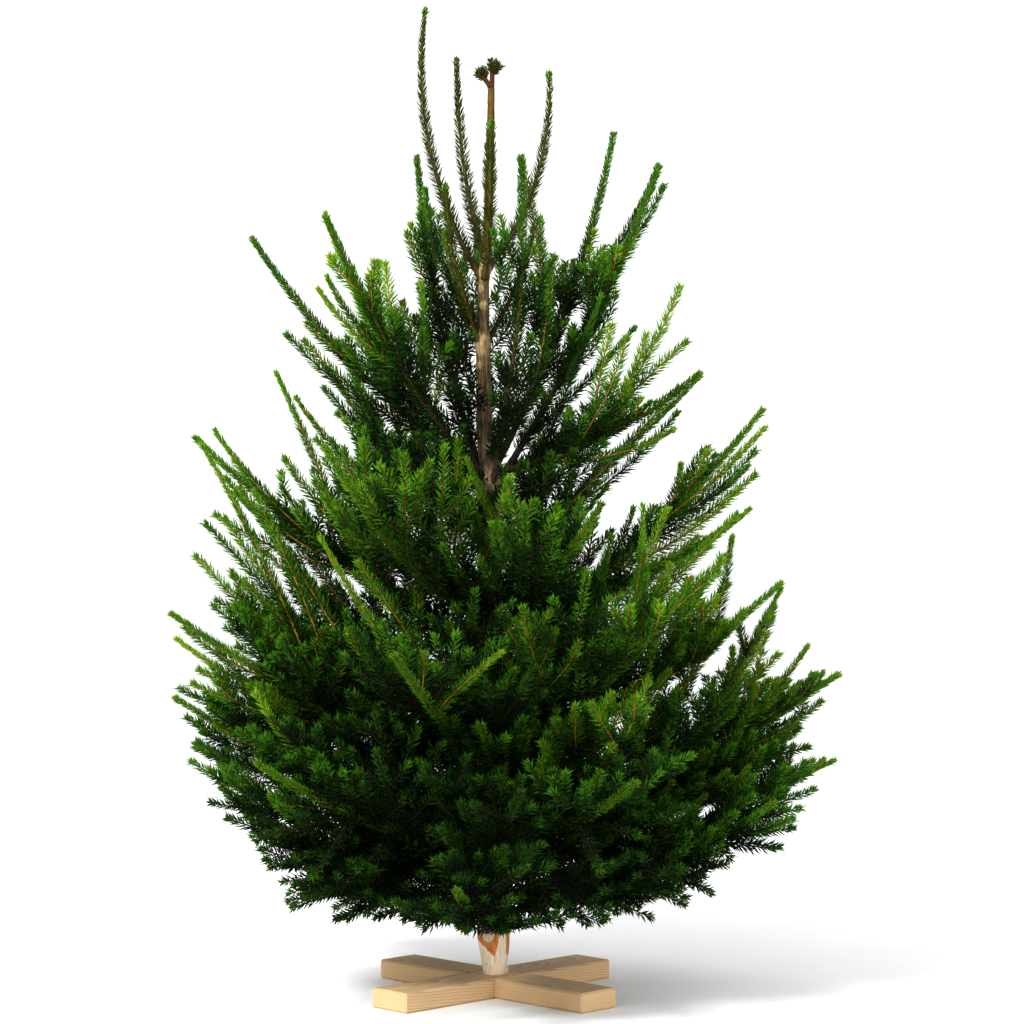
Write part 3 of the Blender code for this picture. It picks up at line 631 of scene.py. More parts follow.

# %% [markdown]
# The shoots that give this tree its outline and its bright front are listed. Where a tip is seen
# from the front, its tint and its kind were given one by one. A separate search program chose its
# limb, foot, depth and bend, so that it is a likely shoot, and wrote these rows in metres.

# %% List the shoots of the outline and the front
# Each row's tint is a painted light or shade for how that shoot is lit, on the scale from deep to
# bright.
LED_SHOOTS = {  # for each limb: foot's share of it, tip in metres, bend in degrees, tint and kind
    "between1_left_front": (
        (0.12, -0.106, 0, 1.23, 28, "dark", "slim"),
        (0.15, -0.077, 0, 1.162, 28, "mid", "wide"),
    ),
    "whorl2_left": (
        (0.18, -0.318, 0, 1.007, 28, "dark", "wide"),
        (0.21, -0.291, 0, 0.997, 28, "mid", "wide"),
        (0.3, -0.195, 0.04, 0.985, 28, "fresh", "wide"),
        (0.33, -0.219, 0, 1.109, 12, "bright", "wide"),
        (0.36, -0.179, 0, 1.118, 5, "mid", "wide"),
        (0.51, -0.284, -0.04, 1.021, 5, "mid", "wide"),
    ),
    "whorl2_left_back": (
        (0.24, -0.143, 0.04, 1.059, 28, "mid", "wide"),
        (0.57, -0.136, 0.08, 1.17, 12, "mid", "wide"),
        (0.57, -0.116, 0.08, 1.202, 12, "dark", "wide"),
    ),
    "whorl2_left_front": (
        (0.24, -0.225, -0.04, 0.984, 5, "dark", "wide"),
        (0.33, -0.111, -0.04, 1.082, -12, "mid", "slim"),
        (0.48, -0.261, -0.12, 1.066, 28, "bright", "slim"),
        (0.48, -0.248, -0.12, 1.084, 28, "mid", "slim"),
        (0.48, -0.158, -0.2, 1.097, 28, "fresh", "wide"),
        (0.57, -0.25, -0.12, 1.178, 20, "bright", "slim"),
    ),
    "whorl2_right": (
        (0.18, 0.214, 0, 1.017, 12, "dark", "slim"),
    ),
    "whorl2_right_back": (
        (0.24, 0.085, 0.04, 1.121, 20, "mid", "wide"),
        (0.3, 0.164, 0.08, 1.033, 28, "dark", "slim"),
        (0.33, 0.074, 0.16, 1.201, 28, "mid", "wide"),
        (0.36, 0.041, 0.08, 1.284, -12, "mid", "wide"),
        (0.48, 0.124, 0.16, 1.133, 20, "mid", "slim"),
        (0.48, 0.265, 0.12, 1.248, 28, "dark", "wide"),
        (0.51, 0.255, 0.12, 1.28, 28, "dark", "slim"),
    ),
    "whorl2_right_front": (
        (0.21, 0.162, -0.04, 1.064, 5, "dark", "slim"),
        (0.24, 0.259, -0.24, 0.854, 28, "mid", "slim"),
        (0.27, 0.237, -0.04, 0.901, 20, "dark", "slim"),
        (0.39, 0.194, -0.2, 0.989, 28, "mid", "wide"),
        (0.45, 0.173, -0.16, 1.01, -12, "fresh", "wide"),
        (0.45, 0.229, -0.08, 1.001, 28, "fresh", "wide"),
        (0.45, 0.278, -0.08, 1.073, 20, "fresh", "wide"),
        (0.45, 0.289, -0.08, 0.99, -12, "mid", "wide"),
    ),
    "whorl3_left": (
        (0.18, -0.207, -0.12, 0.642, 28, "mid", "wide"),
        (0.21, -0.087, -0.08, 0.684, -12, "mid", "wide"),
        (0.24, -0.142, -0.04, 0.772, 28, "fresh", "slim"),
        (0.33, -0.27, -0.08, 0.782, -5, "mid", "wide"),
        (0.36, -0.412, 0, 0.787, 28, "mid", "wide"),
        (0.39, -0.325, 0.04, 0.818, -5, "mid", "wide"),
        (0.42, -0.427, 0, 0.731, 28, "mid", "wide"),
        (0.42, -0.334, 0, 0.948, -5, "mid", "slim"),
        (0.42, -0.322, -0.04, 0.773, 20, "dark", "slim"),
        (0.51, -0.411, 0.16, 0.764, 28, "dark", "slim"),
        (0.54, -0.423, -0.04, 0.858, 20, "mid", "slim"),
        (0.54, -0.417, 0.2, 0.819, 28, "mid", "wide"),
    ),
    "whorl3_left_back": (
        (0.54, -0.119, 0.24, 0.992, -12, "fresh", "wide"),
        (0.57, -0.319, 0.2, 0.918, 28, "mid", "slim"),
        (0.69, -0.278, 0.24, 0.936, -12, "dark", "wide"),
        (0.69, -0.275, 0.24, 0.968, -12, "mid", "slim"),
        (0.69, -0.087, 0.28, 0.963, 28, "mid", "wide"),
        (0.72, -0.225, 0.24, 0.961, 12, "mid", "wide"),
        (0.84, -0.259, 0.28, 0.896, -12, "mid", "wide"),
    ),
    "whorl3_left_front": (
        (0.12, -0.056, -0.12, 0.843, 20, "mid", "wide"),
        (0.12, 0.024, -0.2, 0.784, 5, "fresh", "wide"),
        (0.12, 0.025, -0.24, 0.708, 28, "dark", "wide"),
        (0.18, -0.267, -0.08, 0.844, -12, "mid", "wide"),
    ),
    "whorl3_right": (
        (0.12, 0.312, 0, 0.697, 20, "fresh", "wide"),
        (0.15, 0.151, -0.08, 0.721, 5, "bright", "slim"),
        (0.18, 0.33, 0, 0.683, 28, "fresh", "wide"),
        (0.24, 0.356, 0, 0.713, 28, "mid", "wide"),
        (0.24, 0.39, 0, 0.739, 28, "fresh", "slim"),
        (0.27, 0.378, 0, 0.728, 28, "mid", "slim"),
        (0.33, 0.371, 0, 0.766, 28, "bright", "wide"),
        (0.36, 0.209, -0.08, 0.741, 28, "dark", "slim"),
        (0.45, 0.248, -0.08, 0.742, -12, "dark", "wide"),
        (0.45, 0.389, -0.12, 0.826, 20, "dark", "wide"),
        (0.48, 0.399, 0, 0.793, 28, "mid", "wide"),
        (0.57, 0.321, 0, 0.804, 28, "fresh", "wide"),
        (0.57, 0.338, 0, 0.822, 28, "dark", "wide"),
        (0.57, 0.392, 0.04, 0.806, 28, "dark", "slim"),
        (0.57, 0.403, -0.12, 0.86, 12, "fresh", "slim"),
        (0.6, 0.284, -0.04, 0.807, 28, "mid", "slim"),
        (0.63, 0.322, 0.04, 0.829, -12, "dark", "wide"),
    ),
    "whorl3_right_back": (
        (0.39, 0.29, 0.16, 0.931, 5, "mid", "wide"),
        (0.45, 0.325, 0.16, 0.949, 5, "mid", "slim"),
        (0.48, 0.295, 0.24, 0.897, 28, "dark", "wide"),
    ),
    "whorl3_right_front": (
        (0.12, -0.076, -0.2, 0.686, 20, "dark", "wide"),
        (0.12, 0.171, -0.08, 0.774, -12, "dark", "slim"),
        (0.15, -0.034, -0.16, 0.743, -12, "dark", "wide"),
        (0.18, 0.175, -0.08, 0.706, 20, "deep", "wide"),
        (0.36, -0.039, -0.24, 0.812, 5, "mid", "slim"),
    ),
    "whorl4_left": (
        (0.12, -0.217, -0.12, 0.559, 20, "fresh", "wide"),
        (0.12, -0.191, -0.08, 0.431, -5, "deep", "wide"),
        (0.12, -0.175, -0.12, 0.391, 20, "deep", "wide"),
        (0.15, -0.254, -0.16, 0.423, 28, "deep", "wide"),
        (0.15, -0.206, -0.24, 0.439, 28, "deep", "wide"),
        (0.15, -0.115, -0.08, 0.655, 28, "mid", "wide"),
        (0.21, -0.313, -0.04, 0.559, 20, "mid", "wide"),
        (0.21, -0.149, -0.12, 0.43, 12, "dark", "wide"),
        (0.27, -0.216, -0.08, 0.554, -12, "mid", "wide"),
        (0.3, -0.386, -0.04, 0.772, -12, "mid", "wide"),
        (0.36, -0.458, -0.04, 0.475, 28, "mid", "wide"),
        (0.36, -0.439, -0.04, 0.718, -12, "dark", "wide"),
        (0.39, -0.379, -0.04, 0.633, -12, "mid", "wide"),
        (0.42, -0.448, -0.04, 0.496, 20, "mid", "wide"),
        (0.42, -0.416, 0.04, 0.556, -12, "dark", "wide"),
        (0.42, -0.363, -0.04, 0.483, -12, "mid", "wide"),
        (0.45, -0.482, -0.04, 0.542, 28, "fresh", "slim"),
        (0.45, -0.41, -0.04, 0.725, -12, "mid", "wide"),
        (0.45, -0.365, -0.04, 0.767, -12, "mid", "wide"),
        (0.48, -0.393, 0, 0.53, -12, "dark", "wide"),
        (0.51, -0.445, -0.04, 0.838, -12, "mid", "slim"),
        (0.57, -0.452, -0.04, 0.668, -12, "mid", "wide"),
        (0.57, -0.426, -0.04, 0.593, -12, "dark", "wide"),
        (0.63, -0.463, -0.08, 0.561, 28, "mid", "wide"),
    ),
    "whorl4_left_back": (
        (0.48, -0.443, 0.16, 0.595, 12, "dark", "wide"),
        (0.51, -0.37, 0.2, 0.672, -5, "mid", "wide"),
        (0.51, -0.344, 0.16, 0.727, -5, "mid", "wide"),
        (0.6, -0.378, 0.2, 0.723, 5, "dark", "wide"),
        (0.63, -0.421, 0.2, 0.634, 28, "mid", "wide"),
        (0.66, -0.318, 0.28, 0.71, -5, "dark", "wide"),
    ),
    "whorl4_left_front": (
        (0.12, 0.001, -0.12, 0.556, 28, "mid", "wide"),
        (0.12, 0.037, -0.16, 0.487, 28, "dark", "wide"),
        (0.15, -0.142, -0.12, 0.434, 28, "deep", "wide"),
        (0.24, -0.198, -0.2, 0.662, -12, "mid", "wide"),
        (0.33, -0.253, -0.2, 0.698, 12, "fresh", "slim"),
        (0.6, 0.012, -0.36, 0.538, -12, "fresh", "slim"),
        (0.75, -0.097, -0.32, 0.535, 20, "mid", "wide"),
    ),
    "whorl4_right": (
        (0.48, 0.321, 0, 0.631, 20, "bright", "slim"),
        (0.48, 0.341, 0, 0.565, -5, "mid", "wide"),
        (0.51, 0.36, 0.04, 0.623, -12, "mid", "wide"),
        (0.51, 0.371, 0, 0.565, 28, "mid", "slim"),
        (0.57, 0.38, 0, 0.583, 28, "mid", "wide"),
        (0.75, 0.365, 0, 0.697, -5, "mid", "slim"),
    ),
    "whorl4_right_front": (
        (0.12, -0.047, -0.28, 0.495, 5, "dark", "wide"),
        (0.12, -0.033, -0.24, 0.576, -12, "dark", "wide"),
        (0.12, 0.229, -0.08, 0.612, 5, "fresh", "wide"),
        (0.15, 0.075, -0.16, 0.562, 28, "bright", "slim"),
        (0.21, 0.096, -0.08, 0.496, -5, "mid", "wide"),
        (0.33, 0.04, -0.28, 0.598, 28, "mid", "wide"),
        (0.39, 0.175, -0.12, 0.699, -5, "dark", "wide"),
        (0.45, 0.357, -0.16, 0.731, -12, "mid", "wide"),
        (0.57, 0.217, -0.2, 0.744, 28, "mid", "slim"),
        (0.57, 0.254, -0.16, 0.738, -12, "fresh", "wide"),
        (0.57, 0.259, -0.16, 0.657, 20, "fresh", "wide"),
        (0.72, 0.335, -0.2, 0.665, -12, "mid", "wide"),
        (0.78, 0.329, -0.2, 0.648, -12, "mid", "wide"),
    ),
    "whorl5_left": (
        (0.12, -0.207, -0.12, 0.369, -12, "deep", "wide"),
        (0.12, -0.158, -0.08, 0.308, -12, "deep", "wide"),
        (0.15, -0.289, 0.04, 0.414, -12, "dark", "wide"),
        (0.48, -0.486, 0.04, 0.462, -12, "dark", "wide"),
        (0.54, -0.427, 0.04, 0.517, -12, "dark", "wide"),
        (0.57, -0.425, 0.08, 0.373, 12, "dark", "wide"),
        (0.57, -0.379, 0.04, 0.414, -5, "dark", "wide"),
        (0.6, -0.486, 0.24, 0.356, 28, "dark", "wide"),
        (0.6, -0.416, 0.04, 0.411, -12, "fresh", "wide"),
        (0.66, -0.48, 0.08, 0.414, 28, "dark", "wide"),
        (0.66, -0.431, 0.04, 0.407, 12, "mid", "wide"),
    ),
    "whorl5_left_front": (
        (0.12, -0.173, -0.08, 0.402, -12, "dark", "wide"),
        (0.12, -0.135, -0.12, 0.226, 28, "deep", "wide"),
        (0.12, -0.129, -0.08, 0.387, -5, "dark", "wide"),
        (0.15, -0.134, -0.16, 0.134, 12, "deep", "wide"),
        (0.18, -0.303, -0.08, 0.141, 5, "deep", "wide"),
        (0.18, -0.216, -0.08, 0.213, 28, "deep", "wide"),
        (0.21, -0.281, -0.08, 0.351, -12, "deep", "wide"),
        (0.21, -0.252, -0.08, 0.264, 20, "deep", "wide"),
        (0.21, -0.216, -0.08, 0.286, -12, "deep", "wide"),
        (0.21, -0.188, -0.16, 0.144, 12, "deep", "wide"),
        (0.24, -0.233, -0.16, 0.153, 12, "deep", "wide"),
        (0.27, -0.332, -0.08, 0.337, -5, "deep", "wide"),
        (0.33, -0.27, -0.24, 0.178, 28, "deep", "wide"),
        (0.39, -0.417, -0.16, 0.308, 5, "deep", "wide"),
        (0.48, -0.351, -0.16, 0.468, 28, "fresh", "wide"),
        (0.54, -0.374, -0.2, 0.416, -12, "dark", "wide"),
        (0.57, -0.441, -0.2, 0.371, 28, "dark", "wide"),
        (0.6, -0.372, -0.2, 0.344, 28, "mid", "wide"),
    ),
    "whorl5_right": (
        (0.27, 0.241, -0.08, 0.54, 5, "fresh", "wide"),
        (0.27, 0.262, -0.08, 0.496, -12, "mid", "wide"),
        (0.27, 0.307, 0.04, 0.489, -12, "fresh", "wide"),
        (0.27, 0.39, 0, 0.329, 20, "dark", "wide"),
        (0.3, 0.519, 0, 0.355, 28, "mid", "slim"),
        (0.33, 0.445, 0, 0.376, 28, "dark", "wide"),
        (0.33, 0.504, 0, 0.351, 28, "dark", "wide"),
        (0.36, 0.349, 0.04, 0.548, -12, "bright", "wide"),
        (0.36, 0.48, 0, 0.376, -5, "dark", "wide"),
        (0.39, 0.36, 0.04, 0.347, 12, "mid", "wide"),
        (0.42, 0.417, 0, 0.547, 12, "fresh", "wide"),
        (0.51, 0.439, 0.04, 0.515, -12, "fresh", "wide"),
        (0.51, 0.442, 0.04, 0.362, 12, "dark", "wide"),
        (0.6, 0.427, 0.04, 0.475, -12, "mid", "wide"),
        (0.6, 0.442, 0.04, 0.615, -12, "mid", "slim"),
        (0.6, 0.457, 0.04, 0.389, 28, "mid", "wide"),
        (0.63, 0.464, 0.04, 0.407, 28, "mid", "wide"),
        (0.66, 0.474, -0.04, 0.532, 12, "mid", "slim"),
        (0.66, 0.52, 0.2, 0.432, 28, "dark", "wide"),
        (0.66, 0.526, 0, 0.484, -12, "mid", "slim"),
        (0.78, 0.488, 0.04, 0.475, -12, "mid", "wide"),
    ),
    "whorl5_right_front": (
        (0.12, 0.03, -0.2, 0.44, 28, "deep", "wide"),
        (0.12, 0.094, -0.16, 0.444, -5, "mid", "wide"),
        (0.12, 0.151, -0.16, 0.455, 5, "dark", "wide"),
        (0.18, -0.033, -0.28, 0.357, 28, "deep", "wide"),
        (0.18, -0.019, -0.28, 0.432, -12, "dark", "wide"),
        (0.18, 0.152, -0.12, 0.269, 28, "deep", "wide"),
        (0.21, -0.101, -0.32, 0.361, -12, "deep", "wide"),
        (0.21, -0.074, -0.32, 0.286, 28, "deep", "wide"),
        (0.21, 0.281, -0.16, 0.157, -5, "deep", "wide"),
        (0.27, 0.093, -0.2, 0.384, -12, "fresh", "wide"),
        (0.3, -0.052, -0.4, 0.228, 28, "deep", "wide"),
        (0.3, 0.157, -0.36, 0.166, 28, "deep", "wide"),
        (0.33, 0.176, -0.24, 0.457, -12, "dark", "wide"),
        (0.36, 0.173, -0.24, 0.471, -12, "mid", "wide"),
        (0.39, 0.214, -0.2, 0.287, 28, "deep", "wide"),
        (0.42, 0.279, -0.24, 0.311, 28, "deep", "wide"),
        (0.45, 0.227, -0.24, 0.312, 20, "deep", "wide"),
        (0.48, 0.203, -0.24, 0.318, 12, "deep", "wide"),
        (0.48, 0.222, -0.28, 0.495, 28, "mid", "wide"),
        (0.66, 0.268, -0.32, 0.374, -5, "deep", "wide"),
        (0.69, 0.281, -0.32, 0.391, -12, "dark", "wide"),
        (0.72, 0.199, -0.32, 0.34, -5, "dark", "wide"),
    ),
    "whorl6_front": (
        (0.15, 0.018, -0.2, 0.387, 28, "fresh", "slim"),
        (0.48, 0.041, -0.4, 0.349, -12, "deep", "wide"),
        (0.63, -0.138, -0.36, 0.189, 12, "deep", "wide"),
        (0.66, 0.068, -0.4, 0.275, -12, "deep", "wide"),
        (0.75, 0.048, -0.4, 0.244, -5, "deep", "wide"),
        (0.84, -0.062, -0.44, 0.174, 5, "deep", "wide"),
    ),
    "whorl6_left": (
        (0.21, -0.177, -0.08, 0.126, -12, "deep", "wide"),
        (0.24, -0.238, -0.08, 0.126, -12, "deep", "wide"),
        (0.36, -0.313, -0.04, 0.145, -12, "deep", "wide"),
        (0.48, -0.323, -0.24, 0.223, -12, "deep", "wide"),
        (0.66, -0.40, -0.08, 0.308, 12, "dark", "wide"),
        (0.72, -0.40, -0.08, 0.276, 12, "deep", "wide"),
    ),
    "whorl6_left_back": (
        (0.6, -0.362, 0.24, 0.198, -12, "deep", "wide"),
    ),
    "whorl6_right": (
        (0.24, 0.284, -0.08, 0.17, 20, "deep", "wide"),
        (0.45, 0.478, -0.08, 0.347, -5, "dark", "wide"),
        (0.48, 0.478, -0.08, 0.361, -12, "dark", "wide"),
        (0.54, 0.481, -0.08, 0.319, -12, "dark", "wide"),
        (0.57, 0.152, -0.28, 0.326, -12, "deep", "wide"),
        (0.57, 0.32, -0.08, 0.17, -12, "deep", "wide"),
        (0.75, 0.425, -0.12, 0.237, -12, "deep", "wide"),
        (0.81, 0.431, -0.16, 0.281, 28, "dark", "wide"),
        (0.81, 0.444, -0.12, 0.266, 5, "deep", "wide"),
        (0.81, 0.444, -0.12, 0.279, 20, "dark", "wide"),
    ),
}


def led_arc(limb, share, tip, bend):
    """The line from a share of a limb to a set tip."""
    start = limb.at(share)
    chord = Vector(tip) - start
    return Arc.to_tip(
        start,
        math.atan2(chord.y, chord.x),
        math.hypot(chord.x, chord.y),
        chord.z,
        math.radians(bend),
    )


print(sum(len(rows) for rows in LED_SHOOTS.values()), "listed shoots")

# %% [markdown]
# Each bough gets its leading shoot, its listed shoots, the ones at its nodes, and
# smaller ones between them. Where the boughs leave the trunk apart, thin shoots grow on the trunk
# itself, and fill the dark middle of the crown.

# %% Grow the whole tree
TOP_WHORLS = ("whorl1", "between1")
BOUGH_TIP_GIRTH = 0.0016  # where its needles stand
BOUGH_FOOT_GIRTH = 0.0014
BOUGH_THICKENING = 0.006  # for each metre of its length
BARE_FOOT = 0.12  # the share of a bough that has no needles of its own
BARE_TOP_FOOT = 0.06
NODE_STEP = 0.007  # between the feet of a node's shoots
MIDDLE_FOOT = 0.6  # of a step, so that its three feet lie about the node
BUSHY_LENGTH = 0.14  # a longer listed shoot branches too
BUSHY_BELOW = 0.62  # metres
BUSHY_TINTS = ("deep", "dark", "mid")
BETWEEN_SHARE = 0.62  # how long the shoots between a bough's nodes are, against those at its nodes
BETWEEN_ROLLS = (-150, -30, 5, 40, 75, 110, 140, 175)
UPPER_ROLLS = (55, 90, 125)
HANGING_SHARES = {"whorl5": (0.2, 0.4, 0.6), "whorl6": (0.1, 0.2, 0.34, 0.48, 0.62, 0.76)}
HANGING_ROLLS = (-140, -40)  # degrees
HANGING_SLOPES = (-38, -6)
HANGING_LENGTHS = (0.08, 0.17)
BETWEEN_SPREAD = 0.2  # of the gap between two nodes
BEYOND_LAST = 0.6  # of it
TRUNK_SHOOTS = 84
TRUNK_SHOOT_HEIGHTS = (0.105, 0.90)
TRUNK_SHOOT_CROWDING = 1.5  # more of them low down
TRUNK_SHOOT_FOOT = 0.6  # of the trunk's radius
TRUNK_SHOOT_LENGTHS = (0.12, 0.30)
TRUNK_SHOOT_SLOPES = (-5, 35)
TRUNK_SHOOT_BENDS = (15, 40)
GOLDEN_ANGLE = math.radians(137.5)


def leading_shoot(whorl, line):
    """A bough's own last growth, which is needled nearly to its foot."""
    topmost = whorl.name in TOP_WHORLS
    return Shoot(
        points=points_of(line),
        order=0,
        length=line.length,
        foot=BOUGH_FOOT_GIRTH + BOUGH_THICKENING * line.length,
        tip=BOUGH_TIP_GIRTH,
        habit="topmost" if topmost else "leading",
        bare=BARE_TOP_FOOT if topmost else BARE_FOOT,
        # The tint is a step of painted light and shade: dark at the top and on whorl2, mid elsewhere.
        tint="dark" if topmost or whorl.name == "whorl2" else "mid",
    )


def grow_bough(name, whorl, line, shoots):
    """A bough's leading shoot, the shoots at its nodes, and the smaller ones between them."""
    dice = random.Random(name)
    shoots.append(leading_shoot(whorl, line))
    for share, x, y, z, bend, tint, habit in LED_SHOOTS.get(name, ()):
        arc = led_arc(line, share, (x, y, z), bend)
        bushy = (
            tint in BUSHY_TINTS
            and whorl.name in BUSHINESS
            and arc.length > BUSHY_LENGTH
            and z < BUSHY_BELOW
        )
        order = 1 if bushy else MOST_ORDERS
        grow(arc, order, dice, whorl.name, tint, habit, shoots, led=True)
    if not whorl.nodes:
        return
    for node in whorl.nodes:
        for order, roll in enumerate((*whorl.rolls, dice.choice(UPPER_ROLLS))):
            foot = node + NODE_STEP * (order - MIDDLE_FOOT) / line.length
            arc = side_arc(line, foot, roll, dice, whorl.name, share=VIGOUR[whorl.name])
            grow(arc, 1, dice, whorl.name, *shade_of(arc, dice), shoots)
    gap = whorl.nodes[1] - whorl.nodes[0]
    between = [node - gap / 2 for node in whorl.nodes] + [whorl.nodes[-1] + gap * BEYOND_LAST]
    for node in between:
        foot = node + dice.uniform(-BETWEEN_SPREAD, BETWEEN_SPREAD) * gap
        roll = dice.choice(BETWEEN_ROLLS)
        arc = side_arc(line, foot, roll, dice, whorl.name, share=BETWEEN_SHARE)
        grow(arc, 1, dice, whorl.name, *shade_of(arc, dice), shoots)
    for share in HANGING_SHARES.get(whorl.name, ()):
        for roll in HANGING_ROLLS:
            arc = side_arc(line, share, roll, dice, whorl.name)
            slope = math.radians(dice.uniform(*HANGING_SLOPES))
            arc = Arc(arc.start, arc.azimuth, slope, BENDS[0], dice.uniform(*HANGING_LENGTHS))
            # Hanging shoots get the deep tint, a painted shade under the boughs.
            grow(arc, MOST_ORDERS, dice, whorl.name, "deep", "side", shoots)


shoots = []
for name, (whorl, line) in lines.items():
    if name != "leader":
        grow_bough(name, whorl, line, shoots)
dice = random.Random("trunk")
for number in range(TRUNK_SHOOTS):
    low, high = TRUNK_SHOOT_HEIGHTS
    height = low + (high - low) * (number / TRUNK_SHOOTS) ** TRUNK_SHOOT_CROWDING
    middle, radius = trunk_at(height)
    azimuth = number * GOLDEN_ANGLE
    outward = Vector((math.cos(azimuth), math.sin(azimuth), 0))
    arc = Arc(
        middle + outward * radius * TRUNK_SHOOT_FOOT,
        azimuth,
        math.radians(dice.uniform(*TRUNK_SHOOT_SLOPES)),
        math.radians(dice.uniform(*TRUNK_SHOOT_BENDS)),
        dice.uniform(*TRUNK_SHOOT_LENGTHS),
    )
    habit = "inner" if height < INNER_HEIGHTS[1] else "side"
    # Shoots on the trunk get the deep tint, a painted shade in the middle of the crown.
    grow(arc, 1, dice, "trunk", "deep", habit, shoots)
total_length = sum(shoot.length for shoot in shoots)
print(len(shoots), "shoots,", round(total_length, 1), "m of them")

# %% [markdown]
# ## The stopped leader
# This tree's leader stopped growing. It has needles in its middle, is bare and tan above, and ends
# in a short red-brown fork, each arm with a knot of stunted needles round its buds. It is laid out
# from a few given offsets, since nothing else on the tree has its shape.

# %% Lay out the leader and its fork
LeaderTop = namedtuple("LeaderTop", "shoot stems needles buds")
LEADER_CUT = 0.841  # of the leader's line
LEADER_NEEDLED = (0.30, 0.655)  # of it
LEADER_RADIUS = (0.0073, 0.0051)  # at its foot and at the cut
FORK_ARMS = (  # points from the cut, in metres, with the radius at each
    ((0, 0, -0.003, 0.0044), (-0.004, 0, 0.006, 0.0036), (-0.0085, 0, 0.012, 0.0038),
     (-0.0122, 0, 0.017, 0.0046), (-0.015, 0, 0.023, 0.0024)),
    ((0, 0, -0.003, 0.0044), (0.001, 0, 0.006, 0.0042), (0.0012, 0, 0.015, 0.0038),
     (0.0018, 0, 0.025, 0.0042), (0.005, 0, 0.034, 0.0024)),
)
NEEDLE_KNOTS = (  # foot and tip of each stunted shoot, from the cut
    ((-0.0125, 0.000, 0.015), (-0.018, -0.002, 0.028)),
    ((-0.012, 0.001, 0.016), (-0.0105, 0.003, 0.03)),
    ((-0.012, -0.001, 0.015), (-0.0215, -0.003, 0.0205)),
    ((0.002, 0.000, 0.0235), (0.0135, -0.002, 0.033)),
    ((0.002, 0.001, 0.025), (0.008, 0.003, 0.0395)),
    ((0.0015, -0.001, 0.0255), (-0.0005, -0.001, 0.0415)),
    ((0.002, -0.001, 0.0235), (0.006, -0.009, 0.033)),
)
KNOT_NEEDLES = {"reach": 0.0090, "spacing": 0.00042, "girth": 0.0022, "wide": 1.35}
KNOT_SWEEP = (1.25, 0.55)
STUNTED_STEM = ((0.0, 0.0034), (0.5, 0.0032), (0.9, 0.0020))  # radius at shares of its length


def stopped_leader(line):
    """Its needled stretch, the stems of its fork, and their needles and buds."""
    cut = line.at(LEADER_CUT)
    stems, needles, buds = [], [], []
    for arm in FORK_ARMS:
        places = [cut + Vector(row[:3]) for row in arm]
        headings = [(b - a).normalized() for a, b in zip(places, places[1:])]
        stems.append([
            (place, row[3], heading)
            for place, row, heading in zip(places, arm, headings + headings[-1:])
        ])
    for foot, tip in NEEDLE_KNOTS:
        foot, tip = cut + Vector(foot), cut + Vector(tip)
        values = {key: [value, value] for key, value in KNOT_NEEDLES.items()}
        needles.append(([foot, tip], {**values, "sweep": list(KNOT_SWEEP)}))
        stems.append([
            (foot + (tip - foot) * share, radius, (tip - foot).normalized())
            for share, radius in STUNTED_STEM
        ])
        buds.append((tip, (tip - foot).normalized()))
    bare, needled = LEADER_NEEDLED
    part = Arc(line.start, line.azimuth, line.slope, line.bend * needled, line.length * needled)
    shoot = Shoot(
        points_of(part), 0, part.length, *LEADER_RADIUS, "topmost", bare / needled, "dark"
    )
    return LeaderTop(shoot, stems, needles, buds)


leader_top = stopped_leader(lines["leader"][1])
print("leader cut at", round(leader_top.stems[0][0][0].z, 3), "m")

# %% [markdown]
# ## Geometry Nodes for what stands along a shoot
# Needles, twigs and buds all follow lines, so each is one small node tree that takes the lines as
# loose edges. What changes from shoot to shoot comes in as point attributes, and what is the same
# everywhere is a named input. `grown` sets those inputs by their sockets' identifiers, evaluates
# the tree once, and keeps a plain mesh, because instances would not survive an export.

# %% Write the helpers that grow a mesh on lines
def new_tree(name, sockets):
    """A node tree, its group input, and the identifier of each input."""
    made = bpy.data.node_groups.new(name, "GeometryNodeTree")
    made.interface.new_socket("Lines", in_out="INPUT", socket_type="NodeSocketGeometry")
    identifiers = {}
    for label, (kind, value) in sockets.items():
        socket = made.interface.new_socket(label, in_out="INPUT", socket_type="NodeSocket" + kind)
        if value is not None:
            socket.default_value = value
        identifiers[label] = socket.identifier
    made.interface.new_socket("Mesh", in_out="OUTPUT", socket_type="NodeSocketGeometry")
    return made, made.nodes.new("NodeGroupInput").outputs, identifiers


def attribute(tree, name):
    """A value that the lines carry at each point."""
    return node_in(
        tree, "GeometryNodeInputNamedAttribute", {"Name": name}, data_type="FLOAT"
    ).outputs[0]


def any_number(tree, low, high, seed, shift):
    """A random number for each point."""
    return node_in(tree, "FunctionNodeRandomValue", {
        2: low, 3: high, "Seed": math_in(tree, "ADD", seed, shift),
    }, data_type="FLOAT").outputs[1]


def scaled(tree, vector, amount):
    """A vector, longer by an amount."""
    return node_in(
        tree, "ShaderNodeVectorMath", {0: vector, "Scale": amount}, operation="SCALE"
    ).outputs[0]


def end_tree(tree, geometry, material):
    """Realizes the instances, gives the material, and ends the tree."""
    real = node_in(tree, "GeometryNodeRealizeInstances", {"Geometry": geometry})
    painted = node_in(
        tree, "GeometryNodeSetMaterial", {"Geometry": real.outputs[0], "Material": material}
    )
    end = tree.nodes.new("NodeGroupOutput")
    tree.links.new(painted.outputs[0], end.inputs[0])


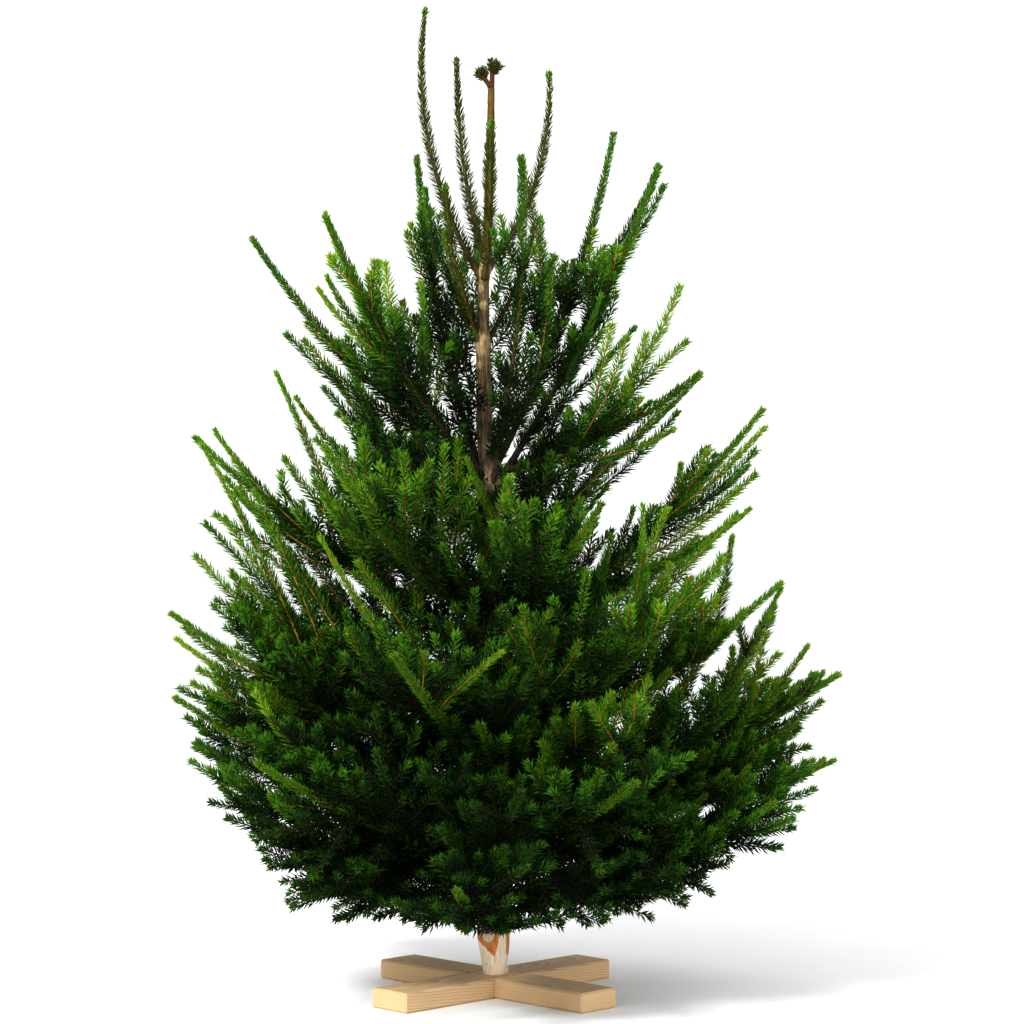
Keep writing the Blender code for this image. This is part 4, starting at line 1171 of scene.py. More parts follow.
def lines_mesh(name, strands):
    """Loose edges along strands of (points, {attribute: values}), one strand after another."""
    points = np.array([point[:] for strand, _ in strands for point in strand], np.float32)
    edges = []
    first = 0
    for strand, _ in strands:
        steps = np.arange(first, first + len(strand) - 1)
        edges.append(np.stack((steps, steps + 1), 1))
        first += len(strand)
    edges = np.concatenate(edges)
    mesh = bpy.data.meshes.new(name)
    mesh.vertices.add(len(points))
    mesh.vertices.foreach_set("co", points.ravel())
    mesh.edges.add(len(edges))
    mesh.edges.foreach_set("vertices", edges.ravel())
    for key in strands[0][1]:
        values = np.concatenate([np.asarray(given[key], np.float32) for _, given in strands])
        mesh.attributes.new(key, "FLOAT", "POINT").data.foreach_set("value", values)
    mesh.update()
    return mesh


def grown(name, strands, tree, identifiers, values):
    """The plain mesh that a node tree grows on strands, as a piece."""
    source = bpy.data.objects.new(name + "_lines", lines_mesh(name + "_lines", strands))
    bpy.context.scene.collection.objects.link(source)
    modifier = source.modifiers.new("grow", "NODES")
    modifier.node_group = tree
    for label, value in values.items():
        modifier[identifiers[label]] = value
    bpy.context.view_layer.update()
    mesh = bpy.data.meshes.new_from_object(
        source.evaluated_get(bpy.context.evaluated_depsgraph_get())
    )
    for key in [a.name for a in mesh.attributes if a.name in strands[0][1]]:
        mesh.attributes.remove(mesh.attributes[key])
    source.modifiers.remove(modifier)
    bpy.data.objects.remove(source)
    piece = bpy.data.objects.new(name, mesh)
    bpy.context.scene.collection.objects.link(piece)
    return piece


def triangles(piece):
    """How many triangles a piece has, in faces of any size."""
    return sum(len(face.vertices) - 2 for face in piece.data.polygons)


def tube_tree(name, smooth):
    """A tree that makes each line a capped tube, as thick as its girths. Also its inputs."""
    tree, given, identifiers = new_tree(name, {
        "Sides": ("Int", 4),
        "Radius": ("Float", 1.0),
        "Material": ("Material", None),
    })
    ring = node_in(tree, "GeometryNodeCurvePrimitiveCircle", {
        "Resolution": given["Sides"], "Radius": given["Radius"],
    })
    tube = node_in(tree, "GeometryNodeCurveToMesh", {
        "Curve": node_in(tree, "GeometryNodeMeshToCurve", {"Mesh": given["Lines"]}).outputs[0],
        "Profile Curve": ring.outputs[0],
        "Scale": attribute(tree, "girth"),
        "Fill Caps": True,
    })
    shaded = node_in(tree, "GeometryNodeSetShadeSmooth", {
        "Geometry": tube.outputs[0], "Shade Smooth": smooth,
    })
    end_tree(tree, shaded.outputs[0], given["Material"])
    return tree, identifiers


tube_look = tube_tree("tubes_along_lines", smooth=True)
print("tubes take", *tube_look[1])

# %% [markdown]
# ## Needle finishes
# A needle is dark and a little waxy. Its tints mix age with painted light and shade: needles inside
# the crown are nearly black, a painted shade, last summer's are mid green, and those at a tip are
# yellow-green, partly young growth and partly painted light.
# Each tint is a finish of its own, dealt out by spray, with a fine mottle so that no two needles
# are quite alike.

# %% Mix the needle greens
NEEDLE_GLOSS = 0.09


def needle_finish(name, darker, lighter, roughness):
    """One tint of green, between a darker and a lighter shade of it."""
    made, tree, shader = plain_finish(name)
    patches = noise_in(tree, place_in(tree), scale=14.0, detail=1.0)
    mottle = noise_in(tree, place_in(tree), scale=160.0, detail=2.0)
    amount = weighted(tree, patches, 0.7, mottle, 0.5)
    fill(tree, shader, {
        "Base Color": colour_ramp(tree, amount, ((0.42, darker), (0.78, lighter))),
        "Roughness": roughness,
        "Specular IOR Level": NEEDLE_GLOSS,
    })
    return made


# From deep to bright the shades are steps of painted shade and painted light; the tuft is the pale
# new growth, and olive the top shoots' own green.
GREEN_SHADES = {  # the darker shade, the lighter one, and the roughness
    "deep": ((0.0014, 0.007, 0.001), (0.007, 0.024, 0.002), 0.62),
    "dark": ((0.009, 0.038, 0.003), (0.026, 0.088, 0.006), 0.58),
    "mid": ((0.028, 0.102, 0.005), (0.07, 0.195, 0.01), 0.54),
    "fresh": ((0.058, 0.17, 0.007), (0.126, 0.285, 0.015), 0.52),
    "bright": ((0.1, 0.232, 0.01), (0.225, 0.385, 0.023), 0.5),
    "tuft": ((0.14, 0.28, 0.012), (0.29, 0.44, 0.03), 0.5),
    "olive": ((0.02, 0.04, 0.003), (0.06, 0.096, 0.007), 0.58),
}
GREEN_NAMES = {"tuft": "needles_tip_green"}
NEEDLE_GREENS = {
    tint: needle_finish(GREEN_NAMES.get(tint, f"needles_{tint}_green"), *shades)
    for tint, shades in GREEN_SHADES.items()
}
print(len(NEEDLE_GREENS), "greens")

# %% [markdown]
# ## Needles
# A spruce needle is 12 to 20 mm long, stands on its own peg, and points forward. Along a shoot the
# pegs follow a spiral of 137.5 degrees, but the needles are combed out to the two sides and up, so
# from below the orange-brown twig shows bare between two combs. One needle here is a keeled kite
# of four triangles, and the node tree stands one at each step of the spiral. A hair system would
# be quicker to comb, but would leave no mesh to export.

# %% Shape one needle
NEEDLE_WIDTH = 0.0021
NEEDLE_KEEL = 0.0009  # how far its back stands up
NEEDLE_WIDEST = 0.38  # of its length
MOST_NEEDLES = 48000  # in one piece


def needle_blank():
    """One needle of unit length along +Z, with its root at the origin."""
    shaped = bmesh.new()
    corners = [
        shaped.verts.new(corner)
        for corner in (
            (0, 0, 0),
            (0, 0, 1),
            (-NEEDLE_WIDTH / 2, NEEDLE_KEEL, NEEDLE_WIDEST),
            (NEEDLE_WIDTH / 2, NEEDLE_KEEL, NEEDLE_WIDEST),
        )
    ]
    for face in ((0, 1, 2), (0, 1, 3), (0, 2, 3), (1, 2, 3)):
        shaped.faces.new([corners[corner] for corner in face])
    bmesh.ops.recalc_face_normals(shaped, faces=shaped.faces)
    mesh = bpy.data.meshes.new("needle_blank")
    shaped.to_mesh(mesh)
    shaped.free()
    made = bpy.data.objects.new("needle_blank", mesh)
    bpy.context.scene.collection.objects.link(made)
    return made


blank_needle = needle_blank()
print("one needle,", len(blank_needle.data.polygons), "triangles")

# %% [markdown]
# The node tree walks along every line at its spacing. Each step turns by the golden angle about the
# line, flattened by the combing, and leans forward by the sweep. The seeds only loosen the pattern.

# %% Build the needle tree
TURN_SPREAD = 0.35  # radians

tree, given, identifiers = new_tree("needles_along_shoots", {
    "Needle": ("Object", None),
    "Combing": ("Float", 0.82),
    "Lift": ("Float", 0.14),
    "Sweep Spread": ("Float", 0.15),
    "Shortest": ("Float", 0.78),
    "Longest": ("Float", 1.10),
    "Seed": ("Int", 1),
    "Material": ("Material", None),
})
curve = node_in(tree, "GeometryNodeMeshToCurve", {"Mesh": given["Lines"]})
level = node_in(tree, "GeometryNodeSetCurveNormal", {"Curve": curve.outputs[0]}, mode="Z_UP")
pegs = node_in(tree, "GeometryNodeCurveToPoints", {
    "Curve": level.outputs[0], "Length": attribute(tree, "spacing"),
}, mode="LENGTH")
along = pegs.outputs["Tangent"]
sideways = pegs.outputs["Normal"]
upward = vector_in(tree, "CROSS_PRODUCT", sideways, along)
turn = math_in(
    tree, "MULTIPLY_ADD", node_in(tree, "GeometryNodeInputIndex").outputs[0], GOLDEN_ANGLE,
    any_number(tree, -TURN_SPREAD, TURN_SPREAD, given["Seed"], 1),
)
sweep = math_in(
    tree, "MULTIPLY_ADD", given["Sweep Spread"],
    any_number(tree, -1, 1, given["Seed"], 2), attribute(tree, "sweep"),
)
combed = math_in(tree, "MULTIPLY", math_in(tree, "SINE", turn), given["Combing"])
across = vector_in(
    tree, "ADD",
    scaled(tree, sideways, math_in(tree, "COSINE", turn)),
    scaled(tree, upward, combed),
)
rooted = node_in(tree, "GeometryNodeSetPosition", {
    "Geometry": pegs.outputs["Points"],
    "Offset": scaled(tree, across, attribute(tree, "girth")),
})
outward = scaled(tree, across, math_in(tree, "SINE", sweep))
forward = scaled(tree, along, math_in(tree, "COSINE", sweep))
lifted = node_in(tree, "ShaderNodeCombineXYZ", {"Z": given["Lift"]}).outputs[0]
heading = vector_in(tree, "ADD", vector_in(tree, "ADD", outward, forward), lifted)
spun = node_in(tree, "FunctionNodeAxisAngleToRotation", {
    "Axis": (0, 0, 1), "Angle": any_number(tree, 0, 2 * math.pi, given["Seed"], 3),
})
rotation = node_in(tree, "FunctionNodeAlignRotationToVector", {
    "Rotation": spun.outputs[0], "Vector": heading,
})
stretch = node_in(tree, "ShaderNodeMapRange", {
    "Value": any_number(tree, 0, 1, given["Seed"], 4),
    "To Min": given["Shortest"],
    "To Max": given["Longest"],
}).outputs[0]
length = math_in(tree, "MULTIPLY", attribute(tree, "reach"), stretch)
wide = attribute(tree, "wide")
size = node_in(tree, "ShaderNodeCombineXYZ", {"X": wide, "Y": wide, "Z": length}).outputs[0]
blank = node_in(tree, "GeometryNodeObjectInfo", {"Object": given["Needle"]})
standing = node_in(tree, "GeometryNodeInstanceOnPoints", {
    "Points": rooted.outputs[0],
    "Instance": blank.outputs["Geometry"],
    "Rotation": rotation.outputs[0],
    "Scale": size,
})
end_tree(tree, standing.outputs[0], given["Material"])
needle_look = (tree, identifiers)
print("needles take", *identifiers)

# %% [markdown]
# Every shoot hands its needles over as one strand. They are shorter at its foot and towards its
# tip, and held closer to the tip. The outer part of a shoot is a tint lighter, partly younger needles
# and partly painted light, its foot is a tint darker, a painted shade, and the last
# centimetre is a strand of its own: the paler tuft that closes round the buds.

# %% Stand the needles on their shoots
# A tint lighter at the tip is partly younger needles and partly painted light; a tint darker at the
# foot is painted shade inside the crown.
PALER_SHARE = 0.3  # of a shoot, at its tip, is a tint lighter
DARKER_SHARE = 0.35  # of it, at its foot, is a tint darker
FOOT_REACH = 0.6  # a shoot's first needles are this share of a full one
FOOT_GAIN = 4  # and full length is reached at this rate
REACH_FADE = 2.5  # the needles shorten late
SWEEP_FADE = 1.5
TUFT_LENGTH = 0.010
TUFT_SPACING = 0.00080
TUFT_REACH = (0.0125, 0.009375)
TUFT_SWEEP = (0.95, 0.30)
TUFT_WIDTH = 1.15
TIP_INSET = 0.001  # a tuft ends, and a bud starts, this far inside the tip


def girths(shoot):
    """A shoot's radius at each of its points."""
    last = len(shoot.points) - 1
    return [shoot.foot + (shoot.tip - shoot.foot) * index / last for index in range(last + 1)]


def strand_values(shoot):
    """What its needles need to know at each of a shoot's points."""
    habit = HABITS[shoot.habit]
    last = len(shoot.points) - 1
    shares = [index / last for index in range(last + 1)]
    wide, close = habit.sweep
    longest, shortest = habit.reach
    return {
        "reach": [
            min(1, FOOT_REACH + share * FOOT_GAIN)
            * (longest + (shortest - longest) * share**REACH_FADE)
            for share in shares
        ],
        "sweep": [wide + (close - wide) * share**SWEEP_FADE for share in shares],
        "spacing": [habit.spacing] * len(shares),
        "girth": girths(shoot),
        "wide": [habit.width] * len(shares),
    }


def tuft_strand(shoot):
    """A short strand at a shoot's tip."""
    tip = shoot.points[-1]
    heading = (tip - shoot.points[-2]).normalized()
    return [tip - heading * TUFT_LENGTH, tip - heading * TIP_INSET], {
        "reach": TUFT_REACH,
        "sweep": TUFT_SWEEP,
        "spacing": [TUFT_SPACING] * 2,
        "girth": [shoot.tip] * 2,
        "wide": [TUFT_WIDTH] * 2,
    }


def batches(strands):
    """Splits strands into lots whose needles fit one piece."""
    lots, lot, count = [], [], 0
    for strand, values in strands:
        length = sum((b - a).length for a, b in zip(strand, strand[1:]))
        needles = length / values["spacing"][0] + 1
        if count + needles > MOST_NEEDLES:
            lots.append(lot)
            lot, count = [], 0
        lot.append((strand, values))
        count += needles
    return lots + [lot]


def finished(piece, slot, *nodes):
    """Lets a piece ride with the tree and stand for the frame's nodes."""
    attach(piece, BODY)
    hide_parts(*nodes)


def lighter(tint, steps):
    """The tint that is some steps further along the scale of painted light, towards a tip's. The
    olive one isn't on this scale.
    """
    tints = [tint for tint in NEEDLE_GREENS if tint != "olive"]
    return tints[max(0, min(tints.index(tint) + steps, len(tints) - 1))]


needle_strands = {tint: [] for tint in NEEDLE_GREENS}
needle_strands["olive"] += leader_top.needles
for shoot in [leader_top.shoot] + shoots:
    last = len(shoot.points) - 1
    first = round(shoot.bare * last)
    darker = first + round(last * DARKER_SHARE) if shoot.order else first
    paler = last if shoot.habit == "topmost" else last - max(1, round(last * PALER_SHARE))
    values = strand_values(shoot)
    # Painted shade at the foot, the spray's own tint, and a painted light towards the tip.
    for steps, low, high in ((-1, first, darker), (0, darker, paler), (1, paler, last)):
        tint = "olive" if shoot.habit == "topmost" else lighter(shoot.tint, steps)
        part = slice(low, high + 1)
        if high > low:
            needle_strands[tint].append(
                (shoot.points[part], {key: value[part] for key, value in values.items()})
            )
    if shoot.habit != "inner":
        needle_strands[lighter(shoot.tint, 2)].append(tuft_strand(shoot))
needle_count = 0
for tint, strands in needle_strands.items():
    for number, lot in enumerate(batches(strands), 1):
        piece = grown(f"needles_{tint}_{number}", lot, *needle_look, {
            "Needle": blank_needle,
            "Seed": number,
            "Material": NEEDLE_GREENS[tint],
        })
        finished(piece, "foliage", *FOLIAGE_NODES)
        needle_count += triangles(piece) // 4
        print(piece.name, triangles(piece), "triangles")
bpy.data.objects.remove(blank_needle)
print(needle_count, "needles")

# %% [markdown]
# ## Twigs
# Under its needles a young shoot is orange-brown, and an older one is grey-brown. Here a twig's bark
# follows its spray's tint, so the twigs of the darkest sprays are nearly black: older bark and
# painted shade. Each is a slim tapering tube of three or four sides, which is enough at this size.

# %% Grow the twigs
BARK_GLOSS = 0.16  # dry bark hardly shines


def bark_finish(name, stops, scale, bump, roughness):
    """Mottled bark."""
    made, tree, shader = plain_finish(name)
    mottle = noise_in(tree, place_in(tree), scale, detail=6.0)
    fill(tree, shader, {
        "Base Color": colour_ramp(tree, mottle, stops),
        "Normal": bump_in(tree, mottle, strength=0.6, depth=bump),
        "Roughness": roughness,
        "Specular IOR Level": BARK_GLOSS,
    })
    return made


TWIG_SHADES = {  # its darker and its lighter shade, the depth of the bump, and the roughness
    "young": ((0.25, 0.115, 0.018), (0.5, 0.275, 0.046), 0.0006, 0.62),
    "grown": ((0.065, 0.03, 0.008), (0.17, 0.082, 0.02), 0.0006, 0.7),
    # The old bark is nearly black: older bark, and painted shade inside the crown.
    "old": ((0.016, 0.012, 0.005), (0.055, 0.032, 0.013), 0.0008, 0.78),
}
TWIG_BARK = {
    age: bark_finish(f"{age}_twig_bark", ((0.3, darker), (0.7, paler)), 160.0, bump, roughness)
    for age, (darker, paler, bump, roughness) in TWIG_SHADES.items()
}
TWIG_SIDES = {"young": 4, "grown": 3, "old": 3}
# A twig's bark is picked by its spray's tint, so it follows the painted light and shade.
TWIG_AGE_BY_PAINTED_LIGHT = {"bright": "young", "fresh": "young", "mid": "grown", "dark": "old", "deep": "old"}
SUNNY_HABITS = ("slim", "wide")  # whose bark is young at a middling tint too
twig_strands = {age: [] for age in TWIG_BARK}
for shoot in shoots:
    if shoot.order:
        sunny = shoot.habit in SUNNY_HABITS and shoot.tint == "mid"
        age = "young" if sunny else TWIG_AGE_BY_PAINTED_LIGHT[shoot.tint]
        twig_strands[age].append((shoot.points, {"girth": girths(shoot)}))
for age, strands in twig_strands.items():
    piece = grown(f"twigs_{age}", strands, *tube_look, {
        "Sides": TWIG_SIDES[age],
        "Material": TWIG_BARK[age],
    })
    finished(piece, "bark", *FOLIAGE_NODES)
    print(piece.name, triangles(piece), "triangles")

# %% [markdown]
# ## Buds
# A shoot ends in red-brown buds: one at its very tip and, on a strong shoot, more round it. Each is
# a spindle 4 to 8 mm long. It could be a scaled sphere, but four rings on a short line give the
# pointed shape, and the tree that makes the twigs already makes them.

# %% Set the buds on the tips
BUD_SHARES = (0.0, 0.35, 0.7, 1.0)  # of a bud's length, and its thickness there
BUD_GIRTHS = (0.55, 1.0, 0.72, 0.10)
BUD_LENGTH = 0.0052
BUD_RADIUS = 0.0013
SIDE_BUD = 0.72  # as large as the middle one
KNOT_BUD = 0.9
LEADING_BUD = 1.5  # a bough's are large
LEADING_BUDS = 5
SUNNY_BUDS = 3
SIDE_BUD_TURN = math.radians(42)
SIDE_BUD_INSET = 0.003


def bud_strand(foot, heading, size):
    """The short line that one bud is made on."""
    points = [foot + heading * (BUD_LENGTH * size * share) for share in BUD_SHARES]
    return points, {"girth": [BUD_RADIUS * size * girth for girth in BUD_GIRTHS]}


def bud_strands(tip, heading, count, size=1.0):
    """The middle bud, and those in a ring below it."""
    made = [bud_strand(tip - heading * TIP_INSET, heading, size)]
    side = heading.orthogonal().normalized()
    tilted = Matrix.Rotation(SIDE_BUD_TURN, 3, side) @ heading
    for number in range(count - 1):
        turned = Matrix.Rotation(2 * math.pi * number / (count - 1), 3, heading) @ tilted
        made.append(bud_strand(tip - heading * SIDE_BUD_INSET, turned, SIDE_BUD * size))
    return made


strands = []
for shoot in shoots:
    if shoot.habit == "inner" or shoot.order and shoot.tint in ("deep", "dark"):
        continue
    heading = (shoot.points[-1] - shoot.points[-2]).normalized()
    if shoot.order == 0:
        strands += bud_strands(shoot.points[-1], heading, LEADING_BUDS, LEADING_BUD)
    else:
        count = SUNNY_BUDS if shoot.habit in SUNNY_HABITS else 1
        strands += bud_strands(shoot.points[-1], heading, count)
for tip, heading in leader_top.buds:
    strands.append(bud_strand(tip - heading * TIP_INSET, heading, KNOT_BUD))
bud_finish = bark_finish(
    "bud_scales", ((0.3, (0.120, 0.038, 0.012)), (0.7, (0.36, 0.150, 0.045))), 900.0, 0.0002, 0.5
)
buds = grown("buds", strands, *tube_look, {"Sides": 4, "Material": bud_finish})
finished(buds, "bark", *FOLIAGE_NODES)
print(len(strands), "buds,", triangles(buds), "triangles")

# %% [markdown]
# ## Bark of the trunk
# The stem of the last four years is tan, with ridges that run up it from the pegs of lost needles.
# Lower down it is grey-brown and scaly, with a rough swelling where each whorl leaves, and small
# stubs between. The ridges could be a bump in the finish, but their edge shows against the sky, so
# the mesh carries them: each ring of the stem is pushed in and out by noise that is drawn out
# along it. How far out a point lies is kept as an attribute, and the finish paints shade in the
# furrows and light on the ridges by it.

# %% Write the helpers that shape a stem
def stem_mesh(name, rings, sides, relief):
    """A closed tube through rings of (middle, radius, heading). relief gives a point's height."""
    points, faces, heights = [], [], []
    for index, (middle, radius, heading) in enumerate(rings):
        turn = heading.to_track_quat("Z", "Y")
        for step in range(sides):
            angle = 2 * math.pi * step / sides
            outward = turn @ Vector((math.cos(angle), math.sin(angle), 0))
            height = relief(middle + outward * radius, outward, radius)
            points.append((middle + outward * (radius + height))[:])
            heights.append(height)
        if index:
            base = (index - 1) * sides
            for step in range(sides):
                beside = (step + 1) % sides
                above = base + sides
                faces.append((base + step, base + beside, above + beside, above + step))
    faces.append(tuple(range(sides - 1, -1, -1)))
    top = (len(rings) - 1) * sides
    faces.append(tuple(range(top, top + sides)))
    mesh = bpy.data.meshes.new(name)
    mesh.from_pydata(points, [], faces)
    mesh.attributes.new("relief", "FLOAT", "POINT").data.foreach_set("value", heights)
    mesh.update()
    return mesh


def joined(name, meshes, finish):
    """One piece from several meshes."""
    whole = bmesh.new()
    for mesh in meshes:
        whole.from_mesh(mesh)
        bpy.data.meshes.remove(mesh)
    made = bpy.data.meshes.new(name)
    whole.to_mesh(made)
    whole.free()
    made.materials.append(finish)
    made.shade_smooth()
    piece = bpy.data.objects.new(name, made)
    bpy.context.scene.collection.objects.link(piece)
    return piece


def upright_rings(low, high, step):
    """Rings of the trunk between two heights above its cut."""
    count = round((high - low) / step)
    heights = [low + (high - low) * index / count for index in range(count + 1)]
    return [(*trunk_at(height), UP) for height in heights]


print(len(upright_rings(0, 1, 0.01)), "rings for a metre of trunk at 1 cm")

# %% [markdown]
# The bark's finish blends two, by height: streaks drawn out up the stem, and coarser grey scales.
# Both are lightened on the mesh's own ridges and darkened in its furrows, a painted light and shade,
# so that colour and relief agree.

# %% Mix the bark
BARK_TURN = (0.66, 1.04)  # metres up, from the scaly grey bark to the ridged tan one
BARK_TURN_WAVER = 0.10
RELIEF_SPAN = (-0.0006, 0.0008)  # metres, from a furrow's floor to a ridge
# Painted light on the ridges and painted shade in the furrows, by the mesh's relief.
RELIEF_PAINTED_LIGHT_AND_SHADE = 0.16  # how much paler a ridge is


def drawn_out(tree, place, along):
    """Object coordinates, squeezed so that a noise is drawn out up the stem."""
    return node_in(tree, "ShaderNodeMapping", {"Vector": place, "Scale": (1, 1, along)}).outputs[0]


def mixed(tree, amount, first, second):
    """The first colour, or the second one where the amount is one."""
    colours = {0: amount, 6: first, 7: second}
    return node_in(tree, "ShaderNodeMix", colours, data_type="RGBA").outputs[2]


def ranged(tree, value, low, high, first=0.0, last=1.0):
    """From first to last, as the value goes from low to high."""
    return node_in(tree, "ShaderNodeMapRange", {
        "Value": value, "From Min": low, "From Max": high, "To Min": first, "To Max": last,
    }).outputs[0]


def trunk_bark():
    """Tan and ridged above, grey and scaly below."""
    made, tree, shader = plain_finish("trunk_bark")
    place = place_in(tree)
    height = node_in(tree, "ShaderNodeSeparateXYZ", {"Vector": place}).outputs["Z"]
    drawn = drawn_out(tree, place, along=0.1)
    streak = noise_in(tree, drawn, scale=360.0, detail=5.0, Roughness=0.62)
    drawn = drawn_out(tree, place, along=0.45)
    scale = noise_in(tree, drawn, scale=170.0, detail=6.0, Roughness=0.7)
    relief = node_in(tree, "ShaderNodeAttribute", attribute_name="relief").outputs["Fac"]
    # Painted shade in the furrows and painted light on the ridges.
    ridge_light_and_furrow_shade = ranged(tree, relief, *RELIEF_SPAN, -RELIEF_PAINTED_LIGHT_AND_SHADE, RELIEF_PAINTED_LIGHT_AND_SHADE)
    tan = colour_ramp(tree, math_in(tree, "ADD", streak, ridge_light_and_furrow_shade), (
        (0.32, (0.034, 0.022, 0.009)), (0.47, (0.12, 0.083, 0.033)),
        (0.6, (0.25, 0.178, 0.078)), (0.74, (0.42, 0.32, 0.165)),
    ))
    # The grey is older bark, kept darker than the tan as painted shade low in the crown.
    grey = colour_ramp(tree, math_in(tree, "ADD", scale, ridge_light_and_furrow_shade), (
        (0.32, (0.022, 0.017, 0.011)), (0.48, (0.09, 0.068, 0.044)),
        (0.62, (0.19, 0.15, 0.104)), (0.76, (0.31, 0.26, 0.19)),
    ))
    wavering = math_in(tree, "MULTIPLY_ADD", scale, BARK_TURN_WAVER, height)
    fill(tree, shader, {
        "Base Color": mixed(tree, ranged(tree, wavering, *BARK_TURN), grey, tan),
        "Normal": bump_in(tree, math_in(tree, "ADD", streak, scale), strength=0.7, depth=0.001),
        "Roughness": ranged(tree, scale, 0.3, 0.7, 0.92, 0.72),
    })
    return made


trunk_finish = trunk_bark()
print(trunk_finish.name, "turns from grey to tan between", *BARK_TURN)

# %% [markdown]
# The relief is the sum of ridges, scales, a swelling at each whorl and a small bump at each stub.
# It is worked out for every point of a tube, since a texture would leave the outline smooth.

# %% Shape the trunk
BUTT_TOP = 0.086  # above the cut
TRUNK_SIDES = 80
TRUNK_STEP = 0.0034
FURROW = (0.00045, 0.0011)  # young and old
WHORL_SWELL = 0.0019
WHORL_SPREAD = 0.013
STUBS = 64
STUB_HEIGHTS = (0.11, 1.10)
STUB_SIZE = 0.0023
STUB_SPREAD = 0.0042
RIDGES = ((330, 0.7), (800, 0.3))  # scale and share
RIDGE_STRETCH = 0.10
SCALE_SIZE = 210
SCALE_STRETCH = 0.5
SCALE_SHARE = 1.1  # on old bark
RIDGE_LOSS = 0.4  # there
SWELL_ROUGHNESS = 0.5
SWELL_SIZE = 160


def trunk_stubs():
    """Where small twigs have died back between the whorls."""
    dice = random.Random("stubs")
    made = []
    for number in range(STUBS):
        height = dice.uniform(*STUB_HEIGHTS)
        middle, radius = trunk_at(height)
        angle = number * GOLDEN_ANGLE
        made.append(middle + Vector((math.cos(angle), math.sin(angle), 0)) * radius)
    return made


stubs = trunk_stubs()
swelling_heights = sorted({whorl.height for whorl in WHORLS if whorl.name != "leader"})


def trunk_relief(point, outward, radius):
    """Ridges that run up the stem, scales low down, swellings at the whorls, and stubs."""
    height = point.z - CUT_HEIGHT
    old = max(0.0, min(1.0, (BARK_TURN[1] - point.z) / (BARK_TURN[1] - BARK_TURN[0])))
    drawn = Vector((point.x, point.y, point.z * RIDGE_STRETCH))
    ridges = sum(noise.noise(drawn * size) * share for size, share in RIDGES)
    scales = noise.noise(Vector((point.x, point.y, point.z * SCALE_STRETCH)) * SCALE_SIZE)
    deep = FURROW[0] + (FURROW[1] - FURROW[0]) * old
    near = min(abs(height - each) for each in swelling_heights) / WHORL_SPREAD
    rough = 1 + SWELL_ROUGHNESS * noise.noise(point * SWELL_SIZE)
    swell = WHORL_SWELL * math.exp(-near * near) * rough
    bumps = 0.0
    for stub in stubs:
        if abs(stub.z - point.z) < 3 * STUB_SPREAD:
            apart = (stub - point).length / STUB_SPREAD
            bumps += STUB_SIZE * math.exp(-apart * apart)
    bark = ridges * (1 - RIDGE_LOSS * old) + old * scales * SCALE_SHARE
    return deep * bark + swell + bumps


trunk_rings = upright_rings(BUTT_TOP, TRUNK[-1][0], TRUNK_STEP)
trunk_mesh = stem_mesh("trunk_stem", trunk_rings, TRUNK_SIDES, trunk_relief)
trunk = joined("trunk_stem", [trunk_mesh], trunk_finish)
finished(trunk, "bark", "trunk")
print("trunk", triangles(trunk), "triangles")

# %% [markdown]
# ## The milled butt
# The foot of a cut tree is milled to a cone, so that it fits a stand. The cutter leaves cream wood
# with flat facets and a few torn fibres. On the front it missed a hollow under a knot, where a
# pointed patch of orange inner bark is left, and a strip of it stays on the right edge. Patches
# like these could be painted on a map. Here the finish finds them from their place on the wood.

# %% Mix the milled wood
PATCH_LEFT = ((-0.0019, 0.0590), (-0.0181, 0.0750))  # its edges, as points across and up
PATCH_RIGHT = ((0.0074, 0.0880), (0.0012, 0.0575))
PATCH_BLUR = 0.0007
EDGE_STRIP = (0.0172, 0.058)  # where it starts, across and up
KNOT_PLACE = (-0.0095, 0.0915)
KNOT_RADII = (0.0088, 0.0115)
BARK_EDGE = (0.0985, 0.1010)  # up, where the bark starts
BARK_RAGGEDNESS = 0.012
WOBBLE = 0.0044  # of every edge


def beyond_line(tree, across, up, start, end):
    """Above nought on the left of the line from start to end, seen from the front, in metres."""
    run, rise = end[0] - start[0], end[1] - start[1]
    length = math.hypot(run, rise)
    offset = (run * start[1] - rise * start[0]) / length
    part = math_in(tree, "MULTIPLY", across, -rise / length)
    whole = math_in(tree, "MULTIPLY_ADD", up, run / length, part)
    return math_in(tree, "SUBTRACT", whole, offset)


def knot_distance(tree, across, up):
    """How far from the knot's middle, in its own radii."""
    offset = node_in(tree, "ShaderNodeCombineXYZ", {
        label: math_in(tree, "MULTIPLY_ADD", value, 1 / radius, -middle / radius)
        for label, value, middle, radius in zip("XZ", (across, up), KNOT_PLACE, KNOT_RADII)
    }).outputs[0]
    return node_in(
        tree, "ShaderNodeVectorMath", {0: offset}, operation="LENGTH"
    ).outputs["Value"]


